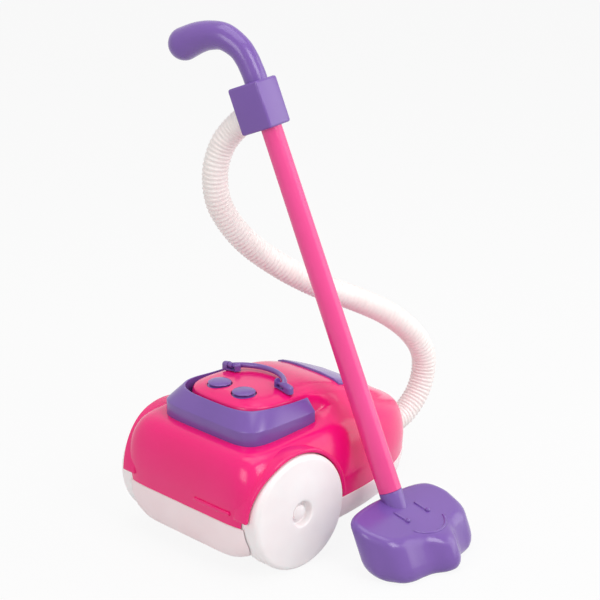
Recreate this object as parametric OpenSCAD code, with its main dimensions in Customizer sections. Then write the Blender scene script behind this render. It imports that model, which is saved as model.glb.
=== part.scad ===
// Toy canister vacuum cleaner: a wheeled body with a ribbed hose, a leaning wand and a wide floor nozzle.
// Millimetres, Z up. The body faces +Y, its right-hand wheel is on +X, and the floor is Z = 0.
// The origin is on the floor, in the middle of the whole toy's footprint without its hose.

/* [Body] */
// Width of the body at its seam
body_w = 202; // [190:1:210]
// Length of the body from rear wall to nose
body_l = 292.5; // [276:0.5:310]
// How far the rear wall lies behind the axle
body_rear = 65.5; // [64:0.5:68]
// Height of the seam between tub and top shell
seam_z = 56; // [52:0.5:60]
// Height of the highest line of the deck
deck_z = 164; // [156:1:172]
// Width of the raised deck at its edge
deck_w = 106; // [100:1:112]
// How far the deck's rear edge lies in front of the rear wall
deck_set = 45.3; // [42:0.1:48]
// How far the top of the hood is drawn in at the nose
nose_set = 40.4; // [34:0.1:46]
// Height of the tub's underside over the floor
ground_gap = 18; // [16:0.5:22]
// Wall of the moulded shells
shell_wall = 2.5; // [2:0.1:3]
// How far the tub's underside is drawn in at its sides
tub_inset = 24; // [14:1:26]
// How far the tub's underside is drawn in behind
tub_rear_inset = 6; // [3:0.5:10]

/* [Wheels] */
// Diameter of the big rear wheels
wheel_d = 120; // [112:1:122]
// Width of a big wheel
wheel_w = 29; // [26:0.5:30]
// Distance over the outer faces of both big wheels
track_w = 212; // [208:1:218]
// Rounding of a big wheel's tread edge
wheel_edge_r = 9; // [5:0.5:12]
// Height of the dome on a big wheel's face
wheel_dome = 5; // [2:0.5:7]
// Diameter of the hub recess in the face
hub_recess_d = 26; // [22:0.5:30]
// Depth of the hub recess
hub_recess_depth = 8; // [6:0.5:10]
// Outer diameter of the hub sleeve
hub_d = 20; // [16:0.5:21]
// Wall of the wheel's rim and web
wheel_wall = 3.5; // [2.5:0.1:5]
// Diameter of the steel axle
axle_d = 6; // [5:0.5:7]
// Room between a wheel and its arch
arch_gap = 2.5; // [2:0.1:4]
// Width of the raised lip round an arch
arch_lip = 3; // [2:0.5:5]
// Diameter of the cap on each axle end
axle_cap_d = 15; // [12:0.5:18]
// Height of that cap
axle_cap_h = 5; // [3:0.5:6]

/* [Front caster] */
// Diameter of the caster's wheel
caster_d = 30; // [26:1:32]
// Width of the caster's wheel
caster_w = 12; // [8:0.5:14]
// How far the caster's wheel trails its stem
caster_trail = 6; // [3:0.5:8]
// Place of the stem behind the nose
caster_y = 62; // [56:1:70]
// Diameter of the swivel stem
stem_d = 8; // [6:0.5:10]
// Diameter of the caster's pin
caster_pin_d = 3; // [2.5:0.1:4]

/* [Buttons] */
// Diameter of a round push button
button_d = 25; // [20:0.5:27]
// Distance between the two buttons
button_pitch = 36; // [32:0.5:40]
// Place of the buttons in front of the axle
button_y = 3; // [0:0.5:6]
// How far a button goes down
button_travel = 2.5; // [1.5:0.1:3]
// Diameter of a button's stem
button_stem_d = 7; // [5:0.5:8]
// Wire of a button's return spring
spring_wire = 1; // [0.8:0.1:1.2]
// Middle diameter of that spring
spring_d = 11; // [10:0.5:13]
// Turns of that spring
spring_turns = 4; // [3:1:5]

/* [Carry handle] */
// Thickness of the carry handle's bar
bail_d = 5.5; // [5:0.5:6.5]
// Distance between its two pivots
bail_span = 78; // [70:1:84]
// How far its bow reaches in front of the pivots
bail_reach = 19.5; // [16:0.5:24]
// Place of its pivot line in front of the axle
bail_y = 38; // [34:0.5:42]
// Diameter of its pivot pins
bail_pin_d = 3; // [2.5:0.1:3.5]
// Length of a pivot bracket
bracket_l = 25; // [22:0.5:28]
// Thickness of a pivot bracket
bracket_d = 7.5; // [6.5:0.1:9]

/* [Trim] */
// Height of the rear bumper's band
bumper_h = 27; // [20:0.5:30]
// Front end of the bumper's arms, in front of the axle
bumper_front = 52; // [40:1:56]
// Place of the hood band's front edge, behind the nose
hood_band_y = 81; // [72:1:90]
// Width of the hood band along the body
hood_band_w = 36; // [20:1:44]
// Thickness of the hood band
hood_band_t = 1.8; // [1:0.1:2.5]

/* [Wand] */
// Lean of the wand from upright, in degrees
wand_lean = 22; // [15:0.5:28]
// Turn of the wand's lean away from the body's side, in degrees
wand_yaw = 12; // [0:1:20]
// Place where the wand's axis meets the floor, to the right of the body's middle
wand_foot_x = 160; // [150:1:175]
// Place where the wand's axis meets the floor, in front of the axle
wand_foot_y = 99.7; // [90:0.1:110]
// Length of the wand tube
wand_l = 407; // [360:1:440]
// Outer diameter of the wand at its foot
wand_foot_d = 23.8; // [22:0.1:26]
// Outer diameter of the wand at its top
wand_top_d = 21.2; // [20:0.1:22]
// Wall of the wand tube
wand_wall = 2; // [1.5:0.1:2.5]

/* [Nozzle] */
// Width of the floor nozzle
nozzle_w = 138; // [126:1:150]
// Depth of the floor nozzle, square to the wand
nozzle_l = 68; // [60:1:74]
// Height of the nozzle's slanted top where the wand's axis crosses it
nozzle_top_z = 53; // [50:0.5:55]
// Slope of the nozzle's top, down to its front, in degrees
nozzle_slope = 14.5; // [10:0.5:16]
// Lean of the nozzle's walls from upright, in degrees
nozzle_lean = 24; // [20:0.5:26]
// How far the nozzle is turned on the wand, in degrees
nozzle_turn = -6; // [-8:1:8]
// Wall of the nozzle
nozzle_wall = 3; // [2:0.1:4]
// Height of the neck along the wand, from the floor
neck_top = 70; // [68:0.5:76]
// Length of the spigot that plugs into the wand
spigot_l = 28; // [20:1:36]
// Height of the raised marks on the nozzle's top
mark_h = 1.2; // [0.8:0.1:2]
// Distance between the two bars on the nozzle's top
mark_pitch = 34; // [28:1:40]
// Length of a bar
mark_l = 17; // [12:0.5:20]
// Width of a bar and of the curved ridge
mark_w = 3.4; // [2.5:0.1:5]
// Radius of the curved ridge in front of the bars
ridge_r = 30; // [25:0.5:32]

/* [Handle] */
// Length of the handle block along the wand
block_h = 48; // [44:1:54]
// Depth of the block, front to back
block_l = 38; // [36:0.5:42]
// Width of the block
block_w = 35; // [33:0.5:40]
// Rounding of the block's edges
block_r = 4; // [2:0.5:6]
// How far the block is set back from the wand's axis
block_back = 6; // [4:0.5:8]
// How deep the wand plugs into the block
wand_plug = 25; // [20:1:28]
// How far the grip reaches behind the wand's axis
grip_reach = 88; // [76:1:96]
// How far the grip's middle line rises over the block
grip_rise = 57; // [48:1:64]
// Thickness of the grip at its neck
grip_neck_d = 23.6; // [20:0.2:26]
// Thickness of the grip at its tip
grip_tip_d = 34; // [30:0.5:38]
// Diameter of the grip's tenon in the block
tenon_d = 16; // [12:0.5:18]
// Length of that tenon
tenon_l = 16; // [12:0.5:18]

/* [Hose] */
// Outer diameter of the ribbed hose
hose_d = 27; // [25:0.2:27.2]
// Depth of the groove between two ribs
rib_depth = 1.1; // [0.6:0.1:1.6]
// Distance between two ribs
rib_pitch = 4.6; // [4.2:0.1:7]
// Bore of the hose
hose_bore_d = 21; // [18:0.5:22]
// Height of the hose inlet in the nose
inlet_z = 57; // [54:0.5:60]
// Wall of the cuffs on the hose
cuff_wall = 2.4; // [1.8:0.1:3]
// Wall of the inlet ring that the two shells trap
inlet_wall = 3; // [2.4:0.1:4]

/* [Fasteners] */
// Shank of the self-tapping screws
screw_d = 3.5; // [3:0.1:4]
// Head of the self-tapping screws
screw_head_d = 7; // [6:0.1:8]
// Height of a screw's head
screw_head_h = 2.5; // [2:0.1:3]
// Diameter of a screw boss
boss_d = 10; // [9:0.5:12]

/* [Fits] */
// Radial room of a running fit
run_fit = 0.05; // [0.03:0.01:0.08]
// Room of a loose seat
seat = 0.3; // [0.2:0.05:0.4]
// Room round a button or other loose moving piece
loose = 0.5; // [0.4:0.05:0.8]

/* [Hidden] */
$fn = 48;

// Colours as the photo shows them
pink = "#e8146e";
blush = "#f6e3e4";
violet = "#7d5bb0";
steel = "#b9bcc2";

// Overrun of every cut past the face that it leaves
over = 1;
// Where the middle of the axle lies from the origin
canister_x = -49.55;
canister_y = -84.75;

// The body's outline
half_w = body_w / 2;
deck_half = deck_w / 2;
body_front = body_l - body_rear;
crest_y = 70;
widest_y = 30;
fill_y = 60;
fill_l = 10;
nose_power = 2.1;
nose_fall = 1.5;
ring_sides = 80;

// The body's rings from the seam up: half width as a share of the body's and of the deck's, inset behind and
// at the nose, then the height behind, at the crest and at the nose. The next two widen and lift a ring in
// front of the bumper's arms. The last is the power of the ring's curve behind: a high one squares it.
ring_shares = [
    [0.99, 0, 0.032, 0.036, 0, 0, 0, 0, 0, 9],
    [1, 0, 0, 0, 0.23, 0.23, 0.16, 0, 0, 9],
    [0.97, 0, 0.045, 0.051, 0.42, 0.44, 0.28, 0, 0, 9],
    [0.9, 0, 0.194, 0.138, 0.57, 0.62, 0.36, 0, 0, 8],
    [0.8, 0, 0.387, 0.275, 0.64, 0.7, 0.42, 0, 0, 8],
    [0, 1.048, 0.943, 0.398, 0.665, 0.695, 0.445, 0.274, 0.135, 3.2],
    [0, 1.029, 0.962, 0.5, 0.89, 0.895, 0.47, 0.084, 0.01, 3.2],
    [0, 1, 1.001, 0.601, 0.935, 0.93, 0.49, 0, 0, 3.2],
    [0, 0.819, 1.175, 0.775, 0.968, 0.965, 0.53, 0, 0, 3],
    [0, 0.381, 1.33, 0.999, 0.985, 0.985, 0.585, 0, 0, 3]];
ring_n = len(ring_shares);

function mix(a, b, t) = a + (b - a) * t;
function clamp01(t) = min(1, max(0, t));
function ease(t) = let (u = clamp01(t)) u * u * (3 - 2 * u);
function unit(v) = v / norm(v);

// One row of the ring table, also between two rings
function ring_row(k) =
    let (low = min(floor(k), ring_n - 2))
    mix(ring_shares[low], ring_shares[low + 1], k - low);
function ring_rear(k, wall) = -body_rear + ring_row(k)[2] * deck_set + wall;
function ring_nose(k, wall) = body_front - ring_row(k)[3] * nose_set - wall;
function ring_fill(y) = ease((y - fill_y) / fill_l);
function ring_half(k, y, wall) =
    let (row = ring_row(k))
    row[0] * half_w + row[1] * deck_half + row[7] * ring_fill(y) * (half_w - deck_half) - wall;

// Height of a ring at a place along the body
function ring_z(k, y) =
    let (row = ring_row(k))
    let (rear = ring_rear(k, 0))
    let (ahead = clamp01((y - crest_y) / (ring_nose(k, 0) - crest_y)))
    let (share = y < crest_y
        ? mix(row[4], row[5], ease((y - rear) / (crest_y - rear)))
        : mix(row[5], row[6], pow(ahead, nose_fall)))
    seam_z + (deck_z - seam_z) * (share + row[8] * ring_fill(y) * (1 - ahead));

// A ring's curve as shares of its half width and of its reach: square corners behind, a round nose in front
function ring_curve(k, angle) =
    let (power = sin(angle) < 0 ? ring_row(k)[9] : nose_power)
    let (reach = pow(pow(abs(cos(angle)), power) + pow(abs(sin(angle)), power), 1 / power))
    [cos(angle) / reach, sin(angle) / reach];

// A point of a ring
function ring_point(k, angle, wall) =
    let (share = ring_curve(k, angle))
    let (reach = share[1] < 0 ? widest_y - ring_rear(k, wall) : ring_nose(k, wall) - widest_y)
    let (y = widest_y + share[1] * reach)
    let (drop = wall * clamp01(k))
    [ring_half(k, y, wall) * share[0], y, ring_z(k, y) - drop];

// Half width of a ring at a place along the body
function ring_x(k, y) =
    let (reach = y < widest_y ? widest_y - ring_rear(k, 0) : ring_nose(k, 0) - widest_y)
    let (along = abs(y - widest_y) / reach)
    let (power = y < widest_y ? ring_row(k)[9] : nose_power)
    ring_half(k, y, 0) * pow(max(0, 1 - pow(along, power)), 1 / power);

function ring(k, wall) = [for (i = [0:ring_sides - 1]) ring_point(k, 360 * i / ring_sides, wall)];

// Faces of a grid of rings, each of n points, from ring a to ring b
function band_faces(n, a, b) = [for (k = [a:b - 1], i = [0:n - 1]) let (j = (i + 1) % n)
    each [[k * n + i, (k + 1) * n + i, k * n + j], [k * n + j, (k + 1) * n + i, (k + 1) * n + j]]];
function flipped(faces) = [for (f = faces) [f[0], f[2], f[1]]];
function shifted(faces, by) = [for (f = faces) [for (v = f) v + by]];

// Lid over a ring whose points mirror each other left and right
function lid_faces(n, first) = [for (i = [0:n / 2 - 1])
    let (a = (n * 3 / 4 + i) % n)
    let (b = (a + 1) % n)
    let (c = (n * 7 / 4 - i) % n)
    let (d = (n * 7 / 4 - i - 1) % n)
    each concat(i == 0 ? [] : [[first + a, first + c, first + b]],
        i == n / 2 - 1 ? [] : [[first + b, first + c, first + d]])];

// A closed tube swept along points: one radius a ring, with flat ends
function tangent(p, i) = unit(p[min(i + 1, len(p) - 1)] - p[max(i - 1, 0)]);
function tube_ring(p, i, r, sides, ref) =
    let (t = tangent(p, i))
    let (u = unit(cross(t, ref)))
    let (v = cross(t, u))
    [for (s = [0:sides - 1]) p[i] + r * (cos(360 * s / sides) * u + sin(360 * s / sides) * v)];
function tube_points(p, radii, sides, ref) =
    [for (i = [0:len(p) - 1]) each tube_ring(p, i, radii[i], sides, ref)];
function fan(n, first, turn) = [for (i = [1:n - 2])
    turn ? [first, first + i + 1, first + i] : [first, first + i, first + i + 1]];
module swept(p, radii, sides, ref) {
    last = (len(p) - 1) * sides;
    polyhedron(tube_points(p, radii, sides, ref),
        concat(band_faces(sides, 0, len(p) - 1), fan(sides, 0, false), fan(sides, last, true)));
}

// Smooth curve through points, n steps a stretch
function spline_at(p, i, t) =
    let (a = p[max(i - 1, 0)])
    let (b = p[i])
    let (c = p[i + 1])
    let (d = p[min(i + 2, len(p) - 1)])
    (2 * b + (c - a) * t + (2 * a - 5 * b + 4 * c - d) * t * t + (3 * b - a - 3 * c + d) * t * t * t) / 2;
function spline(p, n) = concat([for (i = [0:len(p) - 2], s = [0:n - 1]) spline_at(p, i, s / n)],
    [p[len(p) - 1]]);

module at_canister() {
    translate([canister_x, canister_y, 0])
        children();
}

// The wand's own frame: X to its front, Z up along its axis from the floor
module at_wand() {
    translate([canister_x + wand_foot_x, canister_y + wand_foot_y, 0])
        rotate([0, 0, wand_yaw])
            rotate([0, -wand_lean, 0])
                children();
}

// Places two copies, one on each side of the body
module both_sides() {
    for (side = [0, 1])
        mirror([side, 0, 0])
            children();
}

// A round bar along X
module bar_x(x, d, l) {
    translate([x, 0, 0])
        rotate([0, 90, 0])
            cylinder(d = d, h = l);
}

// A round bar along Y
module bar_y(y, d, l) {
    translate([0, y, 0])
        rotate([-90, 0, 0])
            cylinder(d = d, h = l);
}

// Wheel arches
axle_z = wheel_d / 2;
wheel_in = track_w / 2 - wheel_w;
arch_r = wheel_d / 2 + arch_gap;
arch_in = wheel_in - arch_gap;
lip_out = half_w + seat;
lip_sweep = 140;

// Screw places: half distance apart, then place along the body
screw_shares = [[0.45, 0.115], [0.6, 0.58], [0.34, 0.845]];
screw_places = [for (s = screw_shares) [s[0] * half_w, -body_rear + s[1] * body_l]];
tub_boss_h = 2 * shell_wall;
screw_sink = screw_head_h + seat;

// Caster pocket
stem_y = body_front - caster_y;
caster_pocket_d = 56;
caster_pocket_h = 19;
caster_roof_z = ground_gap + caster_pocket_h;
stem_boss_h = 10;
stem_boss_top = caster_roof_z + shell_wall + stem_boss_h;

// Hose inlet in the nose
cuff_d = hose_d + 2 * (seat + cuff_wall);
inlet_bore_d = cuff_d + 2 * run_fit;
inlet_d = inlet_bore_d + 2 * inlet_wall;
inlet_flange = 3;
inlet_in = 12;
inlet_out = 4;

// Button deck
button_hole_d = button_d + 2 * loose;
button_top_z = ring_z(ring_n - 1.6, button_y) + shell_wall;
button_flange = 2;
button_flange_t = 2;
carrier_z = 138;
carrier_t = 4;
carrier_w = 82;
carrier_l = 26;
carrier_boss_x = 36.5;
carrier_boss_dy = 8;
carrier_guide_h = 8;
carrier_screw_l = 9;

// Carry handle pivots
bail_lift = 2.5;
bail_z = deck_z + bail_lift;
bail_rise = 0.5;
bail_eye_d = 6.1;
bail_half = bail_span / 2;
bail_arm = sqrt(bail_reach * bail_reach + bail_rise * bail_rise);
bail_r = (bail_half * bail_half + bail_arm * bail_arm) / (2 * bail_arm);
bracket_drop = 3;
foot_h = 1;
foot_lift = 1.5;
bracket_slot = bail_d + 2 * loose;
bail_pin_l = 2.6;
slot_in = 5.6;
peg_d = 4;
peg_l = 9;

// The tub's outline at one height, drawn in by an inset at the sides and by another behind
module tub_slab(side, rear, z, h) {
    translate([0, 0, z])
        linear_extrude(h)
            polygon([for (i = [0:ring_sides - 1])
                let (share = ring_curve(0, 360 * i / ring_sides))
                let (behind = widest_y - ring_rear(0, rear))
                let (ahead = ring_nose(0, (side + rear) / 2) - widest_y)
                [ring_half(0, 0, side) * share[0], widest_y + share[1] * (share[1] < 0 ? behind : ahead)]]);
}

// The tub's outer form, drawn in by a wall
module tub_form(wall) {
    skin = shell_wall / 2;
    hull() {
        tub_slab(tub_inset + wall, tub_rear_inset + wall, ground_gap + wall, skin);
        tub_slab(tub_inset / 3 + wall, tub_rear_inset / 6 + wall, ground_gap + tub_inset / 2, skin);
        tub_slab(wall, wall, seam_z - skin, skin);
    }
}

// Room for one wheel, to the right
module wheel_room(x, r) {
    translate([0, 0, axle_z])
        bar_x(x, 2 * r, half_w);
}

// White lower tub with wheel wells, axle posts, caster pocket and screw bosses
module base_tub() {
    post_l = 18;
    post_in = 12;
    color(blush)
        at_canister()
            difference() {
                union() {
                    difference() {
                        tub_form(0);
                        difference() {
                            tub_form(shell_wall);
                            both_sides()
                                wheel_room(arch_in - shell_wall, arch_r + shell_wall);
                            translate([0, stem_y, 0])
                                cylinder(d = caster_pocket_d + 2 * shell_wall,
                                    h = caster_roof_z + shell_wall);
                        }
                        translate([-half_w, -body_rear - over, seam_z - over])
                            cube([body_w, body_l + 2 * over, 2 * over]);
                    }
                    both_sides()
                        translate([arch_in - shell_wall - post_in, -post_l / 2, ground_gap])
                            cube([post_in + shell_wall / 2, post_l, axle_z + axle_d - ground_gap]);
                    both_sides()
                        translate([0, 0, axle_z])
                            bar_x(arch_in - shell_wall - post_in, 2 * axle_d,
                                wheel_in - seat - arch_in + shell_wall + post_in);
                    for (place = screw_places)
                        both_sides()
                            translate([place[0], place[1], ground_gap])
                                cylinder(d = boss_d, h = tub_boss_h + shell_wall);
                    translate([0, stem_y, caster_roof_z])
                        cylinder(d = 2 * stem_d, h = stem_boss_top - caster_roof_z);
                }
                both_sides()
                    wheel_room(arch_in, arch_r);
                translate([-half_w, 0, axle_z])
                    bar_x(0, axle_d + 2 * run_fit, body_w);
                for (place = screw_places)
                    both_sides()
                        translate([place[0], place[1], ground_gap - over]) {
                            cylinder(d = screw_d + 2 * run_fit, h = tub_boss_h + shell_wall + 2 * over);
                            cylinder(d = screw_head_d + 2 * loose, h = screw_sink + over);
                        }
                translate([0, stem_y, ground_gap - over])
                    cylinder(d = caster_pocket_d, h = caster_pocket_h + over);
                translate([0, stem_y, ground_gap])
                    cylinder(d = stem_d + 2 * run_fit, h = stem_boss_top);
                translate([0, 0, inlet_z])
                    bar_y(body_front - 2 * inlet_in, inlet_d + 2 * seat, 3 * inlet_in);
            }
}

// The domed top of the body, one closed wall
module shell_form() {
    outer = [for (k = [0:ring_n - 1]) each ring(k, 0)];
    inner = [for (k = [0:ring_n - 1]) each ring(k, shell_wall)];
    top = (ring_n - 1) * ring_sides;
    walls = band_faces(ring_sides, 0, ring_n - 1);
    lid = lid_faces(ring_sides, top);
    rim = [for (i = [0:ring_sides - 1]) let (j = (i + 1) % ring_sides)
        each [[i, j, len(outer) + i], [j, len(outer) + j, len(outer) + i]]];
    polyhedron(concat(outer, inner),
        concat(walls, lid, shifted(flipped(concat(walls, lid)), len(outer)), rim));
}

// Pink top shell with wheel arches, arch lips, button holes and inner bosses
module top_shell() {
    color(pink)
        at_canister()
            difference() {
                union() {
                    difference() {
                        shell_form();
                        both_sides()
                            wheel_room(arch_in, arch_r);
                    }
                    both_sides()
                        translate([arch_in, 0, axle_z])
                            rotate([90, 0, 90])
                                rotate_extrude(angle = lip_sweep)
                                    translate([arch_r, 0])
                                        square([arch_lip, lip_out - arch_in]);
                    for (place = screw_places)
                        both_sides()
                            translate([place[0], place[1], ground_gap + tub_boss_h + shell_wall])
                                cylinder(d = boss_d - 2 * seat,
                                    h = shell_under(place) - ground_gap - tub_boss_h - shell_wall);
                    for (dy = [-carrier_boss_dy, carrier_boss_dy])
                        both_sides()
                            translate([carrier_boss_x, button_y + dy, carrier_z + carrier_t])
                                cylinder(d = boss_d - 2 * seat,
                                    h = shell_under([carrier_boss_x, button_y + dy]) - carrier_z - carrier_t);
                }
                for (place = screw_places)
                    both_sides()
                        translate([place[0], place[1], 0])
                            cylinder(d = screw_d + 2 * run_fit, h = seam_z);
                for (dy = [-carrier_boss_dy, carrier_boss_dy])
                    both_sides()
                        translate([carrier_boss_x, button_y + dy, carrier_z])
                            cylinder(d = screw_d + 2 * run_fit, h = carrier_screw_l + carrier_t);
                both_sides()
                    translate([button_pitch / 2, button_y, carrier_z])
                        cylinder(d = button_hole_d, h = deck_z - carrier_z + over);
                both_sides()
                    bracket_pegs(peg_d + 2 * run_fit);
                translate([0, 0, inlet_z])
                    bar_y(body_front - 2 * inlet_in, inlet_d + 2 * seat, 3 * inlet_in);
            }
}

// Height in the middle of the shell's wall over a place on the body
function shell_under(place) =
    let (steps = [for (k = [ring_n - 1:-0.1:1]) if (ring_x(k, place[1]) > abs(place[0])) k])
    let (k = len(steps) > 0 ? steps[0] : 1)
    ring_z(k, place[1]) - shell_wall / 2;

// Violet band that wraps the rear of the deck
module rear_bumper() {
    outer_share = 0.491;
    inner_share = 0.542;
    outer_ring = outer_share * (ring_n - 1);
    inner_ring = inner_share * (ring_n - 1);
    stations = 28;
    profile = 5;
    start = atan2(bumper_front - widest_y, ring_nose(outer_ring, 0) - widest_y);
    bevel_share = 0.6;
    crown_share = 0.3;
    lift = [0, 0, seat];
    up = [0, 0, bumper_h];
    points = [for (s = [0:stations])
        let (angle = mix(start, -180 - start, s / stations))
        let (out = ring_point(outer_ring, angle, 0) + lift)
        let (in = ring_point(inner_ring, angle, 0) + lift)
        each [in, out, out + bevel_share * up, mix(in, out, crown_share) + up, in + up]];
    color(violet)
        at_canister()
            polyhedron(points, concat(band_faces(profile, 0, stations),
                fan(profile, 0, false), fan(profile, stations * profile, true)));
}

// Violet band across the hood
module hood_band() {
    rows = 6;
    band_shares = [0.8, 0.845, 0.89, 0.945, 1];
    rings = [for (share = band_shares) share * (ring_n - 1)];
    rear = body_front - hood_band_y - hood_band_w;
    half = len(rings);
    columns = 2 * half;
    function row_points(y, lift) = concat(
        [for (k = rings) [ring_x(k, y), y, ring_z(k, y) + lift]],
        [for (i = [half - 1:-1:0]) [-ring_x(rings[i], y), y, ring_z(rings[i], y) + lift]]);
    function loop_points(y) =
        let (low = row_points(y, seat))
        concat(row_points(y, seat + hood_band_t), [for (i = [columns - 1:-1:0]) low[i]]);
    n = 2 * columns;
    function end_faces(first) = [for (i = [0:columns - 2])
        each [[first + i, first + n - 1 - i, first + i + 1],
            [first + i + 1, first + n - 1 - i, first + n - 2 - i]]];
    color(violet)
        at_canister()
            polyhedron([for (r = [0:rows]) each loop_points(rear + hood_band_w * r / rows)],
                concat(flipped(band_faces(n, 0, rows)), end_faces(0), flipped(end_faces(rows * n))));
}

// One round push button with a domed top, a hidden flange and a stem
module button_at(side) {
    crown = button_d;
    under_z = shell_under([button_pitch / 2 + button_d / 2, button_y]) - shell_wall - button_flange_t;
    stem_low = carrier_z - carrier_guide_h;
    color(violet)
        at_canister()
            translate([side * button_pitch / 2, button_y, 0]) {
                intersection() {
                    translate([0, 0, under_z])
                        cylinder(d = button_d, h = button_top_z - under_z);
                    translate([0, 0, button_top_z - crown])
                        sphere(r = crown);
                }
                translate([0, 0, under_z - button_flange_t])
                    cylinder(d = button_d + 2 * button_flange, h = button_flange_t);
                translate([0, 0, stem_low])
                    cylinder(d = button_stem_d, h = under_z - stem_low);
            }
}
module left_button() {
    button_at(-1);
}
module right_button() {
    button_at(1);
}

// Underside of a button's flange
button_under_z = shell_under([button_pitch / 2 + button_d / 2, button_y]) - shell_wall - 2 * button_flange_t;

// Coil spring round a button's stem
module spring_at(side) {
    steps = 8;
    sides = 6;
    low = carrier_z + carrier_t + spring_wire / 2 + seat;
    high = button_under_z - spring_wire / 2 - seat;
    n = spring_turns * steps;
    line = [for (i = [0:n])
        [spring_d / 2 * cos(360 * i / steps), spring_d / 2 * sin(360 * i / steps), mix(low, high, i / n)]];
    gaps = [for (i = [0:n - steps]) norm(line[i + steps] - line[i]) - spring_wire];
    echo(least_spring_gap = min(gaps));
    color(steel)
        at_canister()
            translate([side * button_pitch / 2, button_y, 0])
                swept(line, [for (p = line) spring_wire / 2], sides, [0, 0, 1]);
}
module left_button_spring() {
    spring_at(-1);
}
module right_button_spring() {
    spring_at(1);
}

// Plate under the deck that guides both buttons
module button_carrier() {
    color(blush)
        at_canister()
            difference() {
                union() {
                    translate([-carrier_w / 2, button_y - carrier_l / 2, carrier_z])
                        cube([carrier_w, carrier_l, carrier_t]);
                    both_sides()
                        translate([button_pitch / 2, button_y, carrier_z - carrier_guide_h])
                            cylinder(d = 2 * button_stem_d, h = carrier_guide_h);
                }
                both_sides()
                    translate([button_pitch / 2, button_y, carrier_z - carrier_guide_h - over])
                        cylinder(d = button_stem_d + 2 * run_fit, h = carrier_guide_h + carrier_t + 2 * over);
                for (dy = [-carrier_boss_dy, carrier_boss_dy])
                    both_sides()
                        translate([carrier_boss_x, button_y + dy, carrier_z - over])
                            cylinder(d = screw_d + 2 * run_fit, h = carrier_t + 2 * over);
            }
}

// One pan-head screw pointing up
module screw(l) {
    cylinder(d = screw_head_d, h = screw_head_h);
    cylinder(d = screw_d, h = l);
}

// Four screws that hold the carrier to the shell's bosses
module carrier_screws() {
    color(steel)
        at_canister()
            for (dy = [-carrier_boss_dy, carrier_boss_dy])
                both_sides()
                    translate([carrier_boss_x, button_y + dy, carrier_z - screw_head_h])
                        screw(carrier_screw_l + screw_head_h);
}

// Bowed carry handle with a pivot pin through each end
module carry_handle() {
    sweep = 2 * atan2(bail_half, bail_r - bail_arm);
    color(violet)
        at_canister()
            translate([0, bail_y, bail_z]) {
                rotate([atan2(bail_rise, bail_reach), 0, 0])
                    translate([0, bail_arm - bail_r, 0])
                        rotate([0, 0, 90 - sweep / 2])
                            rotate_extrude(angle = sweep)
                                translate([bail_r, 0])
                                    circle(d = bail_d);
                both_sides() {
                    bar_x(bail_half - bail_d / 2, bail_eye_d, bail_d);
                    bar_x(bail_half - bail_d / 2 - bail_pin_l - slot_in, bail_pin_d,
                        bail_d + 2 * bail_pin_l + slot_in);
                }
            }
}

// Height of a bracket's foot over the deck, at its inner or outer end
function foot_z(end) =
    shell_under([bail_half + end * (bracket_l - bracket_d) / 2, bail_y]) + shell_wall / 2 + seat + foot_lift;

// Two pegs under a pivot bracket
module bracket_pegs(d) {
    for (end = [-1, 1])
        translate([bail_half + end * bracket_l / 4, bail_y, bail_z - peg_l])
            cylinder(d = d, h = peg_l);
}

// Rounded bracket, slotted for the end of the carry handle
module bracket_right() {
    color(violet)
        at_canister()
            difference() {
                union() {
                    hull()
                        for (end = [-1, 1])
                            translate([bail_half + end * (bracket_l - bracket_d) / 2, bail_y, 0]) {
                                translate([0, 0, bail_z - end * bracket_drop / 2])
                                    sphere(d = bracket_d, $fn = 32);
                                translate([0, 0, foot_z(end)])
                                    cylinder(d = bracket_d, h = foot_h, $fn = 32);
                            }
                    bracket_pegs(peg_d);
                }
                translate([bail_half - bracket_slot / 2 - slot_in, bail_y - bracket_d,
                    bail_z - bail_eye_d / 2 - seat])
                    cube([bracket_slot + slot_in, 2 * bracket_d, 2 * bail_d]);
                translate([0, bail_y, bail_z])
                    bar_x(bail_half - bail_d / 2 - bail_pin_l - slot_in - seat, bail_pin_d + 2 * run_fit,
                        bail_d + 2 * bail_pin_l + slot_in + 2 * seat);
            }
}
module left_handle_bracket() {
    translate([2 * canister_x, 0, 0])
        mirror([1, 0, 0])
            bracket_right();
}
module right_handle_bracket() {
    bracket_right();
}

// Steel axle through both posts and both wheels
axle_end = track_w / 2 - hub_recess_depth + axle_cap_h / 2;
module rear_axle() {
    color(steel)
        at_canister()
            translate([0, 0, axle_z])
                bar_x(-axle_end, axle_d, 2 * axle_end);
}

// Push-on caps at both ends of the axle
module axle_caps() {
    color(blush)
        at_canister()
            translate([0, 0, axle_z])
                both_sides()
                    translate([track_w / 2 - hub_recess_depth + seat, 0, 0])
                        rotate([0, 90, 0])
                            difference() {
                                intersection() {
                                    cylinder(d = axle_cap_d, h = axle_cap_h);
                                    translate([0, 0, axle_cap_h - axle_cap_d])
                                        sphere(r = axle_cap_d);
                                }
                                translate([0, 0, -over])
                                    cylinder(d = axle_d, h = axle_cap_h / 2 - seat + over);
                            }
}

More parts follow.
